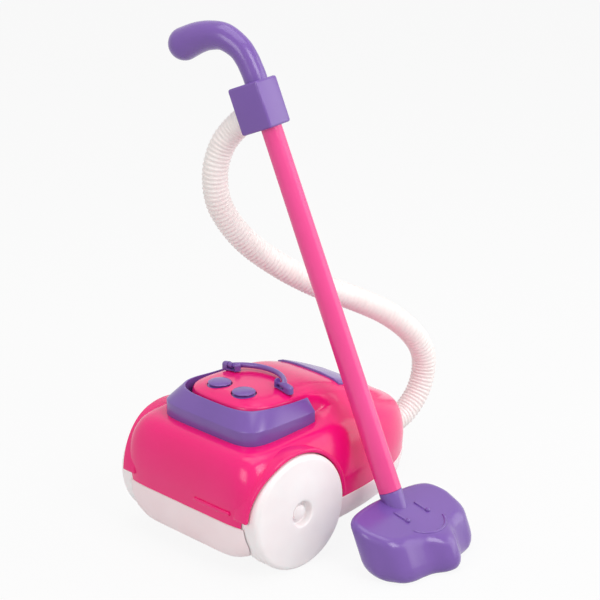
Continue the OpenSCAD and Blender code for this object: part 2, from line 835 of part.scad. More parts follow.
// Half section of a big wheel: radius, then distance from its inner face
module wheel_section() {
    r = wheel_d / 2;
    edge = wheel_edge_r;
    face = wheel_w - wheel_dome;
    bore = axle_d / 2 + run_fit;
    recess = hub_recess_d / 2;
    floor_x = wheel_w - hub_recess_depth;
    arc_steps = 8;
    tread_in = [for (i = [0:arc_steps]) let (a = 270 + 90 * i / arc_steps)
        [r - edge / 2 + edge / 2 * cos(a), edge / 2 + edge / 2 * sin(a)]];
    tread_out = [for (i = [0:arc_steps]) let (a = 90 * i / arc_steps)
        [r - edge + edge * cos(a), face - edge + edge * sin(a)]];
    dome = [for (i = [1:arc_steps]) let (s = i / arc_steps)
        [mix(r - edge, recess + wheel_wall / 2, s), face + wheel_dome * sin(90 * s)]];
    under = [for (i = [0:arc_steps]) let (s = i / arc_steps)
        [mix(hub_d / 2, r - 2 * wheel_wall, s),
            face - wheel_wall + (wheel_dome - hub_recess_depth) * (1 - s)]];
    polygon(concat([[bore, 0]], [[hub_d / 2, 0]], under, [[r - 2 * wheel_wall, 0]], tread_in, tread_out, dome,
        [[recess, wheel_w - wheel_wall / 2], [recess - wheel_wall / 2, floor_x], [bore, floor_x]]));
}

// A big white wheel, to the right
module wheel_right() {
    color(blush)
        at_canister()
            translate([wheel_in, 0, axle_z])
                rotate([0, 90, 0])
                    rotate_extrude($fn = 96)
                        wheel_section();
}
module left_wheel() {
    translate([2 * canister_x, 0, 0])
        mirror([1, 0, 0])
            wheel_right();
}
module right_wheel() {
    wheel_right();
}

// Swivelling fork under the nose
caster_axle_z = caster_d / 2;
caster_axle_y = stem_y - caster_trail;
fork_top = caster_roof_z - seat;
fork_plate_t = 3;
fork_cheek_t = 3;
fork_clear = 0.6;
fork_half = caster_w / 2 + fork_clear + fork_cheek_t;
clip_h = 2.4;
module caster_fork() {
    cheek_l = 16;
    color(blush)
        at_canister()
            difference() {
                union() {
                    translate([0, stem_y, fork_top - fork_plate_t])
                        cylinder(d = 3 * stem_d + cheek_l, h = fork_plate_t);
                    translate([0, stem_y, fork_top - over])
                        cylinder(d = stem_d, h = stem_boss_top + clip_h + seat - fork_top + over);
                    for (side = [-1, 1])
                        translate([side * (fork_half - fork_cheek_t / 2), 0, 0]) {
                            translate([-fork_cheek_t / 2, caster_axle_y - cheek_l / 2, caster_axle_z])
                                cube([fork_cheek_t, cheek_l, fork_top - caster_axle_z]);
                            translate([0, caster_axle_y, caster_axle_z])
                                bar_x(-fork_cheek_t / 2, cheek_l, fork_cheek_t);
                        }
                }
                translate([0, caster_axle_y, caster_axle_z])
                    bar_x(-fork_half - over, caster_pin_d + 2 * run_fit, 2 * fork_half + 2 * over);
            }
}

// Pin through the fork and the small wheel
module caster_pin() {
    color(steel)
        at_canister()
            translate([0, caster_axle_y, caster_axle_z])
                bar_x(-fork_half, caster_pin_d, 2 * fork_half);
}

// Small caster wheel with rounded edges
module caster_wheel() {
    edge = caster_w / 4;
    color(blush)
        at_canister()
            translate([0, caster_axle_y, caster_axle_z])
                rotate([0, 90, 0])
                    rotate_extrude()
                        difference() {
                            union() {
                                translate([0, -caster_w / 2])
                                    square([caster_d / 2 - edge, caster_w]);
                                translate([0, edge - caster_w / 2])
                                    square([caster_d / 2, caster_w - 2 * edge]);
                                for (side = [-1, 1])
                                    translate([caster_d / 2 - edge, side * (caster_w / 2 - edge)])
                                        circle(r = edge);
                            }
                            translate([-caster_d, -caster_w])
                                square([caster_d + caster_pin_d / 2 + run_fit, 2 * caster_w]);
                        }
}

// Push-on clip that keeps the stem in its boss
module caster_clip() {
    color(steel)
        at_canister()
            translate([0, stem_y, stem_boss_top + seat])
                difference() {
                    cylinder(d = 2 * stem_d, h = clip_h - seat);
                    translate([0, 0, -over])
                        cylinder(d = stem_d + 2 * run_fit, h = clip_h + 2 * over);
                }
}

// Screws from below that hold the top shell to the tub
module base_screws() {
    color(steel)
        at_canister()
            for (place = screw_places)
                both_sides()
                    translate([place[0], place[1], ground_gap + screw_sink - screw_head_h])
                        screw(6 * screw_head_h);
}

// Flanged ring for the hose, trapped between the two shells at the nose
module hose_inlet() {
    color(pink)
        at_canister()
            translate([0, 0, inlet_z])
                difference() {
                    union() {
                        bar_y(body_front - inlet_in, inlet_d, inlet_in + inlet_out);
                        bar_y(body_front - inlet_in, inlet_d + 2 * inlet_flange, inlet_flange);
                    }
                    bar_y(body_front - inlet_in - over, inlet_bore_d, 2 * inlet_in + inlet_out);
                }
}

// Smooth cuff round the hose in the inlet
module front_hose_cuff() {
    color(blush)
        at_canister()
            translate([0, 0, inlet_z])
                difference() {
                    bar_y(body_front - inlet_in, cuff_d, inlet_in + 2 * inlet_out);
                    bar_y(body_front - inlet_in - over, hose_d + 2 * run_fit,
                        inlet_in + 2 * inlet_out + 2 * over);
                }
}

// Hose route from the handle block to the nose, from the middle of the axle
hose_route = [[-28, 59.5, 431], [-39, 57.5, 421], [-50, 55.5, 411], [-62, 50, 393], [-69, 46, 364],
    [-70, 53, 327], [-62, 78, 288], [-49, 116, 254], [-36, 158, 226], [-24, 199, 205], [-12, 238, 182],
    [-4, 268, 156], [0, 285, 130], [0, 288, 106], [0, 279, 82], [0, 259, 64], [0, 236, 57], [0, 220, 57],
    [0, 204, 57]];
hose_steps = 8;
hose_line = spline(hose_route, hose_steps);
function run_lengths(p, i = 0, sum = 0, out = []) = i == len(p) ? out :
    run_lengths(p, i + 1, i + 1 < len(p) ? sum + norm(p[i + 1] - p[i]) : sum,
        concat(out, [sum]));
hose_runs = run_lengths(hose_line);
hose_l = hose_runs[len(hose_runs) - 1];
function hose_at(s) = [for (axis = [0:2])
    lookup(s, [for (i = [0:len(hose_line) - 1]) [hose_runs[i], hose_line[i][axis]]])];

// Ribbed hose with an open bore
module hose() {
    sides = 8;
    ribs = round(hose_l / rib_pitch);
    outer_line = [for (i = [0:2 * ribs]) hose_at(hose_l * i / (2 * ribs))];
    outer_radii = [for (i = [0:2 * ribs]) hose_d / 2 - (i % 2 == 0 ? rib_depth : 0)];
    bore_n = round(ribs / 3);
    bore_line = [for (i = [0:bore_n]) hose_at(hose_l * i / bore_n)];
    outer = tube_points(outer_line, outer_radii, sides, [1, 0, 0]);
    bore = tube_points(bore_line, [for (p = bore_line) hose_bore_d / 2], sides, [1, 0, 0]);
    first = len(outer);
    outer_end = len(outer) - sides;
    bore_end = first + len(bore) - sides;
    rims = [for (i = [0:sides - 1]) let (j = (i + 1) % sides)
        each [[i, j, first + i], [j, first + j, first + i],
            [outer_end + i, bore_end + i, outer_end + j], [outer_end + j, bore_end + i, bore_end + j]]];
    color(blush)
        at_canister()
            polyhedron(concat(outer, bore), concat(band_faces(sides, 0, 2 * ribs),
                shifted(flipped(band_faces(sides, 0, bore_n)), first), rims));
}

// Handle block on top of the wand, in the wand's frame
wand_low = neck_top;
wand_high = wand_low + wand_l;
block_low = wand_high - wand_plug;
block_high = block_low + block_h;
function wand_d_at(z) = mix(wand_foot_d, wand_top_d, (z - wand_low) / wand_l);

// The hose's port in the block, from the route's own end
module at_port() {
    toward = unit(hose_route[0] - hose_route[2]);
    at_canister()
        translate(hose_route[0])
            rotate([0, acos(toward[2]), atan2(toward[1], toward[0])])
                children();
}

module handle_block() {
    color(violet)
        difference() {
            at_wand()
                difference() {
                    hull()
                        for (x = [-1, 1], y = [-1, 1])
                            translate([x * (block_l / 2 - block_r) - block_back, y * (block_w / 2 - block_r),
                                block_low])
                                cylinder(r = block_r, h = block_h, $fn = 32);
                    translate([0, 0, block_low - over])
                        cylinder(d = wand_d_at(block_low) + 2 * seat, h = wand_plug + over);
                    translate([0, 0, block_high - tenon_l])
                        cylinder(d = tenon_d + 2 * run_fit, h = tenon_l + over);
                }
            at_port()
                translate([0, 0, -2 * hose_d])
                    cylinder(d = hose_d + 2 * seat, h = 2 * hose_d + seat);
        }
}

// Cane-shaped grip: places as shares of its reach and rise, and thickness as a share from neck to tip
grip_shares = [[0, 0, 0], [0, 0.1, 0], [0.01, 0.25, 0], [0.025, 0.4, 0.03], [0.08, 0.63, 0.12],
    [0.23, 0.88, 0.36], [0.42, 0.99, 0.56], [0.6, 1.02, 0.78], [0.8, 1, 1]];
module handle_grip() {
    sides = 24;
    tip_steps = 6;
    path = [for (s = grip_shares) [-s[0] * grip_reach, 0, block_high + seat + s[1] * grip_rise, s[2]]];
    line = spline(path, 4);
    last = len(line) - 1;
    ahead = unit([for (axis = [0:2]) line[last][axis] - line[last - 1][axis]]);
    end = [for (axis = [0:2]) line[last][axis]];
    tip = [for (i = [1:tip_steps]) end + ahead * grip_tip_d / 2 * sin(85 * i / tip_steps)];
    tip_radii = [for (i = [1:tip_steps]) grip_tip_d / 2 * cos(85 * i / tip_steps)];
    centres = concat([for (p = line) [p[0], p[1], p[2]]], tip);
    radii = concat([for (p = line) mix(grip_neck_d, grip_tip_d, clamp01(p[3])) / 2], tip_radii);
    color(violet)
        at_wand() {
            swept(centres, radii, sides, [0, 1, 0]);
            translate([0, 0, block_high - tenon_l])
                cylinder(d = tenon_d, h = tenon_l + over);
        }
}

// Tapered wand tube
module wand_tube() {
    color(pink)
        at_wand()
            translate([0, 0, wand_low])
                difference() {
                    cylinder(d1 = wand_foot_d, d2 = wand_top_d, h = wand_l);
                    translate([0, 0, -over])
                        cylinder(d1 = wand_foot_d - 2 * wand_wall, d2 = wand_top_d - 2 * wand_wall,
                            h = wand_l + 2 * over);
                }
}

// Right half of the nozzle's outline, back to front: share of the depth, share of the half width
nozzle_shares = [[0, 0], [0, 0.35], [0.04, 0.72], [0.13, 0.95], [0.33, 1], [0.5, 0.93], [0.63, 0.8],
    [0.71, 0.6], [0.77, 0.4], [0.86, 0.22], [0.96, 0.09], [1, 0]];
nozzle_back = 14.7;
nozzle_shift = 4;
nozzle_mid = nozzle_shift - nozzle_top_z * tan(wand_lean);
function nozzle_outline(wall) =
    let (half = [for (s = nozzle_shares)
        [-nozzle_back + wall + s[0] * (nozzle_l - 2 * wall), s[1] * (nozzle_w / 2 - wall)]])
    let (n = len(half))
    let (around = concat(half, [for (i = [n - 2:-1:0]) [half[i][0], -half[i][1]]]))
    spline(around, 3);

// The nozzle's solid: leaning walls, a flat sole and a slanted top
module nozzle_form(wall, low) {
    far = nozzle_w;
    top = nozzle_top_z - wall;
    slant = tan(nozzle_slope);
    translate([canister_x + wand_foot_x, canister_y + wand_foot_y, 0])
        rotate([0, 0, wand_yaw])
            intersection() {
                translate([nozzle_mid, 0, nozzle_top_z])
                    rotate([0, -nozzle_lean, 0])
                        rotate([0, 0, nozzle_turn])
                            linear_extrude(2 * far, center = true)
                                polygon(nozzle_outline(wall));
                rotate([90, 0, 0])
                    linear_extrude(2 * far, center = true)
                        polygon([[-far, low], [far, low], [far, top - (far - nozzle_mid) * slant],
                            [-far, top + (far + nozzle_mid) * slant]]);
            }
}

// Raised marks on the nozzle's top: two bars with a stud each, and a curved ridge
module nozzle_marks() {
    bar_start = 9;
    ridge_mid = 24;
    ridge_sweep = 116;
    stud_d = 1.3 * mark_w;
    translate([canister_x + wand_foot_x, canister_y + wand_foot_y, 0])
        rotate([0, 0, wand_yaw])
            translate([nozzle_mid, 0, nozzle_top_z])
                rotate([0, nozzle_slope, 0])
                    rotate([0, 0, nozzle_turn]) {
                        for (side = [-1, 1])
                            translate([bar_start, side * mark_pitch / 2, 0]) {
                                translate([0, -mark_w / 2, -nozzle_wall / 2])
                                    cube([mark_l, mark_w, nozzle_wall / 2 + mark_h / 2]);
                                translate([mark_l, 0, -nozzle_wall / 2])
                                    cylinder(d = stud_d, h = nozzle_wall / 2 + mark_h, $fn = 16);
                            }
                        translate([ridge_mid, 0, -nozzle_wall / 2])
                            rotate([0, 0, -ridge_sweep / 2])
                                rotate_extrude(angle = ridge_sweep)
                                    translate([ridge_r - mark_w / 2, 0])
                                        square([mark_w, nozzle_wall / 2 + mark_h / 2]);
                    }
}

// Violet floor nozzle, open below, with its neck and spigot
module nozzle() {
    neck_low = neck_top / 2;
    color(violet)
        difference() {
            union() {
                difference() {
                    nozzle_form(0, 0);
                    nozzle_form(nozzle_wall, -over);
                }
                nozzle_marks();
                intersection() {
                    union() {
                        at_wand()
                            translate([0, 0, neck_low])
                                cylinder(d = wand_foot_d, h = neck_top - neck_low);
                        at_wand()
                            translate([0, 0, neck_low])
                                cylinder(d = wand_foot_d - 2 * (wand_wall + seat),
                                    h = neck_top - neck_low + spigot_l);
                    }
                    translate([-nozzle_w, -nozzle_w, nozzle_wall])
                        cube([4 * nozzle_w, 2 * nozzle_w, 2 * nozzle_w]);
                }
            }
            at_wand()
                translate([0, 0, neck_low - over])
                    cylinder(d = wand_foot_d - 4 * wand_wall - 2 * seat, h = neck_top + spigot_l);
        }
}

base_tub();
top_shell();
rear_bumper();
hood_band();
left_button();
right_button();
left_button_spring();
right_button_spring();
button_carrier();
carrier_screws();
carry_handle();
left_handle_bracket();
right_handle_bracket();
rear_axle();
axle_caps();
left_wheel();
right_wheel();
caster_fork();
caster_pin();
caster_wheel();
caster_clip();
base_screws();
hose_inlet();
front_hose_cuff();
hose();
handle_block();
handle_grip();
wand_tube();
nozzle();
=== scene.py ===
import math

import bmesh
import bpy
from mathutils import Matrix, Vector


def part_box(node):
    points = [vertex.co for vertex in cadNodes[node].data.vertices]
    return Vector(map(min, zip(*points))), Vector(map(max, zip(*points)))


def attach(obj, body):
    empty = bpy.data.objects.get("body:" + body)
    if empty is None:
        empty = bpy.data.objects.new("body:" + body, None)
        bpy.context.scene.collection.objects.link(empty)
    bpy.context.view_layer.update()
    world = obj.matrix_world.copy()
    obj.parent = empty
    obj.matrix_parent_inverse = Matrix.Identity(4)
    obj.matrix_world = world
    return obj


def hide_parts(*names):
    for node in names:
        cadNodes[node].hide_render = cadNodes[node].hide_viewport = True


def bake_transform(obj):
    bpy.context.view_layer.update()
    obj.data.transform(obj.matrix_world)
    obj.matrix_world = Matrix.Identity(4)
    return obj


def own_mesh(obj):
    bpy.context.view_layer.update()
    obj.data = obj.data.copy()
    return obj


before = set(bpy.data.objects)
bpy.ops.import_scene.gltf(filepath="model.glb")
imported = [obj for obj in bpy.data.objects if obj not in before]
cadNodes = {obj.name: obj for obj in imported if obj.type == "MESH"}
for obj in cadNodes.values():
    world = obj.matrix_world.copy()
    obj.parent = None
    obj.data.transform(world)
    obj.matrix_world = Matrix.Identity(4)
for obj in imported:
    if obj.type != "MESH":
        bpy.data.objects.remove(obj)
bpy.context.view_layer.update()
mm = 0.001
bothSides = {"Left": -1, "Right": 1}
print("frame loaded:", len(cadNodes), "CAD nodes")

axleLow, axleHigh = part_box("rear_axle")
axleMiddle = (axleLow + axleHigh) / 2


# Millimetres from the floor under the middle of the axle, X to the right wheel and Y to the nose
def onBody(x, y, z):
    return Vector((axleMiddle.x + x * mm, axleMiddle.y + y * mm, z * mm))


wand = {"footX": 160, "footY": 99.7, "lean": 22, "yaw": 12}
wandFoot = Matrix.Translation(onBody(wand["footX"], wand["footY"], 0)) @ Matrix.Rotation(
    math.radians(wand["yaw"]), 4, "Z"
)
wandFrame = wandFoot @ Matrix.Rotation(math.radians(-wand["lean"]), 4, "Y")


# Millimetres in the wand's own frame: X to its front, Z up along its axis
def onWand(x, y, z):
    return wandFrame @ Vector((x * mm, y * mm, z * mm))


# From a to b by a share
def mix(a, b, t):
    return a + (b - a) * t


# A share that starts and ends gently
def ease(t):
    t = min(1, max(0, t))
    return t * t * (3 - 2 * t)


# The camera stands where the photograph was taken from
camera = {
    "place": (1390.4, -1244.43, 905.64),
    "turn": 46,
    "pitch": 19.2,
    "lens": 120,
    "sensor": 36,
    "sight": 50,  # metres
}
cameraData = bpy.data.cameras.new("camera")
cameraData.lens = camera["lens"]
cameraData.sensor_width = camera["sensor"]
cameraData.clip_end = camera["sight"]
cameraObject = bpy.data.objects.new("camera", cameraData)
bpy.context.scene.collection.objects.link(cameraObject)
cameraObject.location = onBody(*camera["place"])
cameraObject.rotation_euler = (math.radians(90 - camera["pitch"]), 0, math.radians(camera["turn"]))
bpy.context.scene.camera = cameraObject
bpy.context.scene.view_settings.view_transform = "Standard"
print("camera set")


# An sRGB hex colour as linear light
def linear(hexColour):
    parts = [int(hexColour[i : i + 2], 16) / 255 for i in (1, 3, 5)]
    return [c / 12.92 if c <= 0.04045 else ((c + 0.055) / 1.055) ** 2.4 for c in parts] + [1]


# One node with its values, links and settings
def addNode(tree, kind, values=None, links=None, **settings):
    node = tree.nodes.new(kind)
    for name, value in settings.items():
        setattr(node, name, value)
    for socket, value in (values or {}).items():
        node.inputs[socket].default_value = value
    for socket, source in (links or {}).items():
        tree.links.new(source, node.inputs[socket])
    return node


# Shared by all moulded plastics: how far light spreads inside, where the noise starts and ends,
# and the depth of the orange peel. Real orange peel is finer: it is drawn 2 to 3 mm wide to show here.
moulding = {"spread": (6, 4, 4), "drift": (0.3, 0.7), "flow": (0.2, 0.8), "peelDepth": 0.2}


# A moulded plastic: a slow drift of colour, faint flow clouds in the gloss and an orange peel
def mouldedPlastic(name, look):
    material = bpy.data.materials.new(name)
    material.use_nodes = True
    tree = material.node_tree
    shader = tree.nodes["Principled BSDF"]
    shader.inputs["IOR"].default_value = look["ior"]
    shader.inputs["Specular IOR Level"].default_value = look.get("shine", 0.5)
    shader.inputs["Subsurface Weight"].default_value = look.get("soft", 0)
    shader.inputs["Subsurface Radius"].default_value = [reach * mm for reach in moulding["spread"]]
    place = addNode(tree, "ShaderNodeTexCoord")
    drift = addNode(
        tree,
        "ShaderNodeTexNoise",
        {"Scale": 1 / (look["driftSize"] * mm), "Detail": 2.0},
        {"Vector": place.outputs["Object"]},
    )
    ramp = addNode(tree, "ShaderNodeValToRGB", None, {"Fac": drift.outputs["Fac"]})
    for stop, position, colour in zip(ramp.color_ramp.elements, moulding["drift"], ("deep", "colour")):
        stop.position = position
        stop.color = linear(look[colour])
    tree.links.new(ramp.outputs["Color"], shader.inputs["Base Color"])
    flow = addNode(
        tree,
        "ShaderNodeTexNoise",
        {"Scale": 1 / (look["flowSize"] * mm), "Detail": 1.0},
        {"Vector": place.outputs["Object"]},
    )
    gloss = addNode(
        tree,
        "ShaderNodeMapRange",
        {
            "From Min": moulding["flow"][0],
            "From Max": moulding["flow"][1],
            "To Min": look["rough"][0],
            "To Max": look["rough"][1],
        },
        {"Value": flow.outputs["Fac"]},
    )
    tree.links.new(gloss.outputs["Result"], shader.inputs["Roughness"])
    peel = addNode(
        tree,
        "ShaderNodeTexNoise",
        {"Scale": 1 / (look["peelSize"] * mm), "Detail": 1.0},
        {"Vector": place.outputs["Object"]},
    )
    bump = addNode(
        tree,
        "ShaderNodeBump",
        {"Strength": look["peel"], "Distance": moulding["peelDepth"] * mm},
        {"Height": peel.outputs["Fac"]},
    )
    tree.links.new(bump.outputs["Normal"], shader.inputs["Normal"])
    return material


# Polished mould: a clear gloss that wavers a little over the big faces
pinkAbs = mouldedPlastic(
    "moulded ABS, hot pink",
    {
        "colour": "#EE1076",
        "deep": "#EA0D71",
        "ior": 1.53,
        "shine": 0.38,
        "rough": (0.17, 0.21),
        "driftSize": 70,
        "flowSize": 16,
        "peelSize": 2.2,
        "peel": 0.08,
    },
)
# Drawn tube: an even gloss, so one long highlight runs down it
wandAbs = mouldedPlastic(
    "extruded ABS tube, lighter pink",
    {
        "colour": "#EC4590",
        "deep": "#E83F8A",
        "ior": 1.53,
        "rough": (0.16, 0.2),
        "driftSize": 60,
        "flowSize": 16,
        "peelSize": 2.2,
        "peel": 0.06,
    },
)
# A duller mould than the pink: broader and softer highlights
violetAbs = mouldedPlastic(
    "moulded ABS, violet",
    {
        "colour": "#7652A4",
        "deep": "#714EA0",
        "ior": 1.53,
        "rough": (0.2, 0.24),
        "driftSize": 50,
        "flowSize": 14,
        "peelSize": 2.2,
        "peel": 0.08,
    },
)
# Waxy and a little see-through: pale, rosy shadows and no sharp reflections
blushPp = mouldedPlastic(
    "moulded polypropylene, milky white",
    {
        "colour": "#FAE8EA",
        "deep": "#F6E0E3",
        "ior": 1.49,
        "rough": (0.3, 0.42),
        "driftSize": 60,
        "flowSize": 14,
        "peelSize": 2.5,
        "peel": 0.1,
        "soft": 0.15,
    },
)
# Thin blown walls: a soft sheen, and light sinks in at the edges
wheelPe = mouldedPlastic(
    "blow moulded polyethylene, white",
    {
        "colour": "#FBF5F5",
        "deep": "#F6EDEE",
        "ior": 1.5,
        "rough": (0.36, 0.48),
        "driftSize": 40,
        "flowSize": 12,
        "peelSize": 3,
        "peel": 0.12,
        "soft": 0.2,
    },
)
# Soft bellows: a dull sheen, so the ribs show by their shade
hosePe = mouldedPlastic(
    "corrugated polyethylene hose, off white",
    {
        "colour": "#F6EFEC",
        "deep": "#F1E6E3",
        "ior": 1.5,
        "rough": (0.4, 0.52),
        "driftSize": 45,
        "flowSize": 10,
        "peelSize": 2.5,
        "peel": 0.1,
        "soft": 0.06,
    },
)
# Plated wire and pins: a grey metal with cloudy, half dull patches
zinc = {"colour": "#B9BCC2", "cloudSize": 3, "rough": (0.25, 0.45)}
zincSteel = bpy.data.materials.new("zinc plated steel wire")
zincSteel.use_nodes = True
zincTree = zincSteel.node_tree
zincShader = zincTree.nodes["Principled BSDF"]
zincShader.inputs["Metallic"].default_value = 1
zincShader.inputs["Base Color"].default_value = linear(zinc["colour"])
zincPlace = addNode(zincTree, "ShaderNodeTexCoord")
zincCloud = addNode(
    zincTree,
    "ShaderNodeTexNoise",
    {"Scale": 1 / (zinc["cloudSize"] * mm)},
    {"Vector": zincPlace.outputs["Object"]},
)
zincGloss = addNode(
    zincTree,
    "ShaderNodeMapRange",
    {"To Min": zinc["rough"][0], "To Max": zinc["rough"][1]},
    {"Value": zincCloud.outputs["Fac"]},
)
zincTree.links.new(zincGloss.outputs["Result"], zincShader.inputs["Roughness"])
print("materials made")


# The edges of a closed loop
def loopEdges(bm, loop):
    return [bm.edges.get((loop[i - 1], loop[i])) for i in range(len(loop))]


# A ring of points made a loop of edges, then extruded from ring to ring
def loft(rings):
    bm = bmesh.new()
    loop = list(bmesh.ops.create_circle(bm, segments=len(rings[0]), radius=mm)["verts"])
    for vert, point in zip(loop, rings[0]):
        vert.co = point
    loops = [loop]
    for ring in rings[1:]:
        made = bmesh.ops.extrude_edge_only(bm, edges=loopEdges(bm, loop))["geom"]
        fresh = {g for g in made if isinstance(g, bmesh.types.BMVert)}
        loop = [next(e.other_vert(v) for e in v.link_edges if e.other_vert(v) in fresh) for v in loop]
        for vert, point in zip(loop, ring):
            vert.co = point
        loops.append(loop)
    return bm, loops


# A loft with a face over each end
def closedLoft(rings):
    bm, loops = loft(rings)
    for loop in (loops[0], loops[-1]):
        bmesh.ops.contextual_create(bm, geom=loopEdges(bm, loop))
    return bm


# Points round a centre, in the plane of two directions
def circlePoints(centre, radius, first, second, sides):
    turns = [2 * math.pi * i / sides for i in range(sides)]
    return [centre + radius * (math.cos(turn) * first + math.sin(turn) * second) for turn in turns]


# The angles of a quarter turn
def quarterTurn(steps):
    return [math.radians(90 * i / steps) for i in range(steps + 1)]


# Edges whose faces turn by more than so many degrees
def sharpEdges(bm, over):
    return [e for e in bm.edges if e.is_manifold and e.calc_face_angle() > math.radians(over)]


# Rounds edges as the editor does
def roundEdges(bm, edges, size, segments):
    bmesh.ops.bevel(
        bm,
        geom=edges,
        affect="EDGES",
        offset=size * mm,
        segments=segments,
        profile=0.5,
        material=-1,
        clamp_overlap=True,
    )


# An object at the origin, with its place in its mesh
def makePiece(name, bm, material, sharp=40):
    bmesh.ops.recalc_face_normals(bm, faces=bm.faces)
    mesh = bpy.data.meshes.new(name)
    bm.to_mesh(mesh)
    bm.free()
    mesh.materials.append(material)
    piece = bpy.data.objects.new(name, mesh)
    bpy.context.scene.collection.objects.link(piece)
    smoothShade(piece, sharp)
    return piece


# Smooth faces that meet sharply only where they turn by more than so many degrees
def smoothShade(piece, sharp):
    piece.data.polygons.foreach_set("use_smooth", [True] * len(piece.data.polygons))
    piece.data.set_sharp_from_angle(angle=math.radians(sharp))


# Modifiers are worked into the mesh, so cutters can be thrown away
def settle(piece, sharp=40, cutters=()):
    bpy.context.view_layer.update()
    graph = bpy.context.evaluated_depsgraph_get()
    mesh = bpy.data.meshes.new_from_object(piece.evaluated_get(graph))
    mesh.name = piece.name
    piece.modifiers.clear()
    piece.data = mesh
    for cutter in cutters:
        bpy.data.objects.remove(cutter)
    smoothShade(piece, sharp)


# A plain bar that cuts a round hole
def roundBar(name, start, end, diameter, sides=96):
    bm = bmesh.new()
    axis = end - start
    turn = axis.to_track_quat("Z", "Y").to_matrix().to_4x4()
    bmesh.ops.create_cone(
        bm,
        cap_ends=True,
        segments=sides,
        radius1=diameter / 2 * mm,
        radius2=diameter / 2 * mm,
        depth=axis.length,
        matrix=Matrix.Translation((start + end) / 2) @ turn,
    )
    return makePiece(name, bm, pinkAbs)


# The cutters stay until the piece is settled
def cutAway(piece, cutters):
    for cutter in cutters:
        cut = piece.modifiers.new(cutter.name, "BOOLEAN")
        cut.operation = "DIFFERENCE"
        cut.object = cutter
        cut.solver = "MANIFOLD"


# Smooth curve through points, as a list of vectors
def curveThrough(points, steps):
    points = [Vector(p) for p in points]
    line = []
    for i in range(len(points) - 1):
        a, b, c = points[max(i - 1, 0)], points[i], points[i + 1]
        d = points[min(i + 2, len(points) - 1)]
        for step in range(steps):
            t = step / steps
            slope = (c - a) * t
            bend = (2 * a - 5 * b + 4 * c - d) * t * t
            twist = (3 * b - a - 3 * c + d) * t**3
            line.append((2 * b + slope + bend + twist) / 2)
    return line + [points[-1]]


# The ribbed hose from the handle block to the nose
hose = {
    "diameter": 27,
    "ribPitch": 4.6,
    "ribDepth": 1.1,
    "sides": 32,
    "ringsPerRib": 4,
    "stepsPerSpan": 24,
    "exit": (0, 227, 57),
    "stillEnd": (0, 235, 57),
    "route": [
        (-28, 59.5, 431),
        (-39, 57.5, 421),
        (-50, 55.5, 411),
        (-62, 50, 393),
        (-69, 46, 364),
        (-70, 53, 327),
        (-62, 78, 288),
        (-49, 116, 254),
        (-36, 158, 226),
        (-24, 199, 205),
        (-12, 238, 182),
        (-4, 268, 156),
        (0, 285, 130),
        (0, 288, 106),
        (0, 279, 82),
        (0, 259, 64),
        (0, 236, 57),
        (0, 220, 57),
        (0, 204, 57),
    ],
}
hoseLine = curveThrough(hose["route"], hose["stepsPerSpan"])
hoseRuns = [0]
for here, there in zip(hoseLine, hoseLine[1:]):
    hoseRuns.append(hoseRuns[-1] + (there - here).length)
ribCount = round(hoseRuns[-1] / hose["ribPitch"])
ringCount = ribCount * hose["ringsPerRib"]
hoseCentres = []
cursor = 0
for i in range(ringCount + 1):
    run = hoseRuns[-1] * i / ringCount
    while cursor < len(hoseRuns) - 2 and hoseRuns[cursor + 1] < run:
        cursor += 1
    share = (run - hoseRuns[cursor]) / (hoseRuns[cursor + 1] - hoseRuns[cursor])
    hoseCentres.append(hoseLine[cursor].lerp(hoseLine[cursor + 1], share))
hoseRings = []
for i, centre in enumerate(hoseCentres):
    along = (hoseCentres[min(i + 1, ringCount)] - hoseCentres[max(i - 1, 0)]).normalized()
    side = along.cross(Vector((1, 0, 0))).normalized()
    rise = along.cross(side)
    wave = 0.5 - 0.5 * math.cos(2 * math.pi * i / hose["ringsPerRib"])
    radius = hose["diameter"] / 2 - hose["ribDepth"] * (1 - wave)
    ring = circlePoints(centre, radius, side, rise, hose["sides"])
    hoseRings.append([onBody(*point) for point in ring])
hoseTube = makePiece("hoseTube", closedLoft(hoseRings), hosePe, sharp=80)
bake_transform(hoseTube)
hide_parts("hose")
print("hose laid:", round(hoseRuns[-1]), "mm,", ribCount, "ribs")

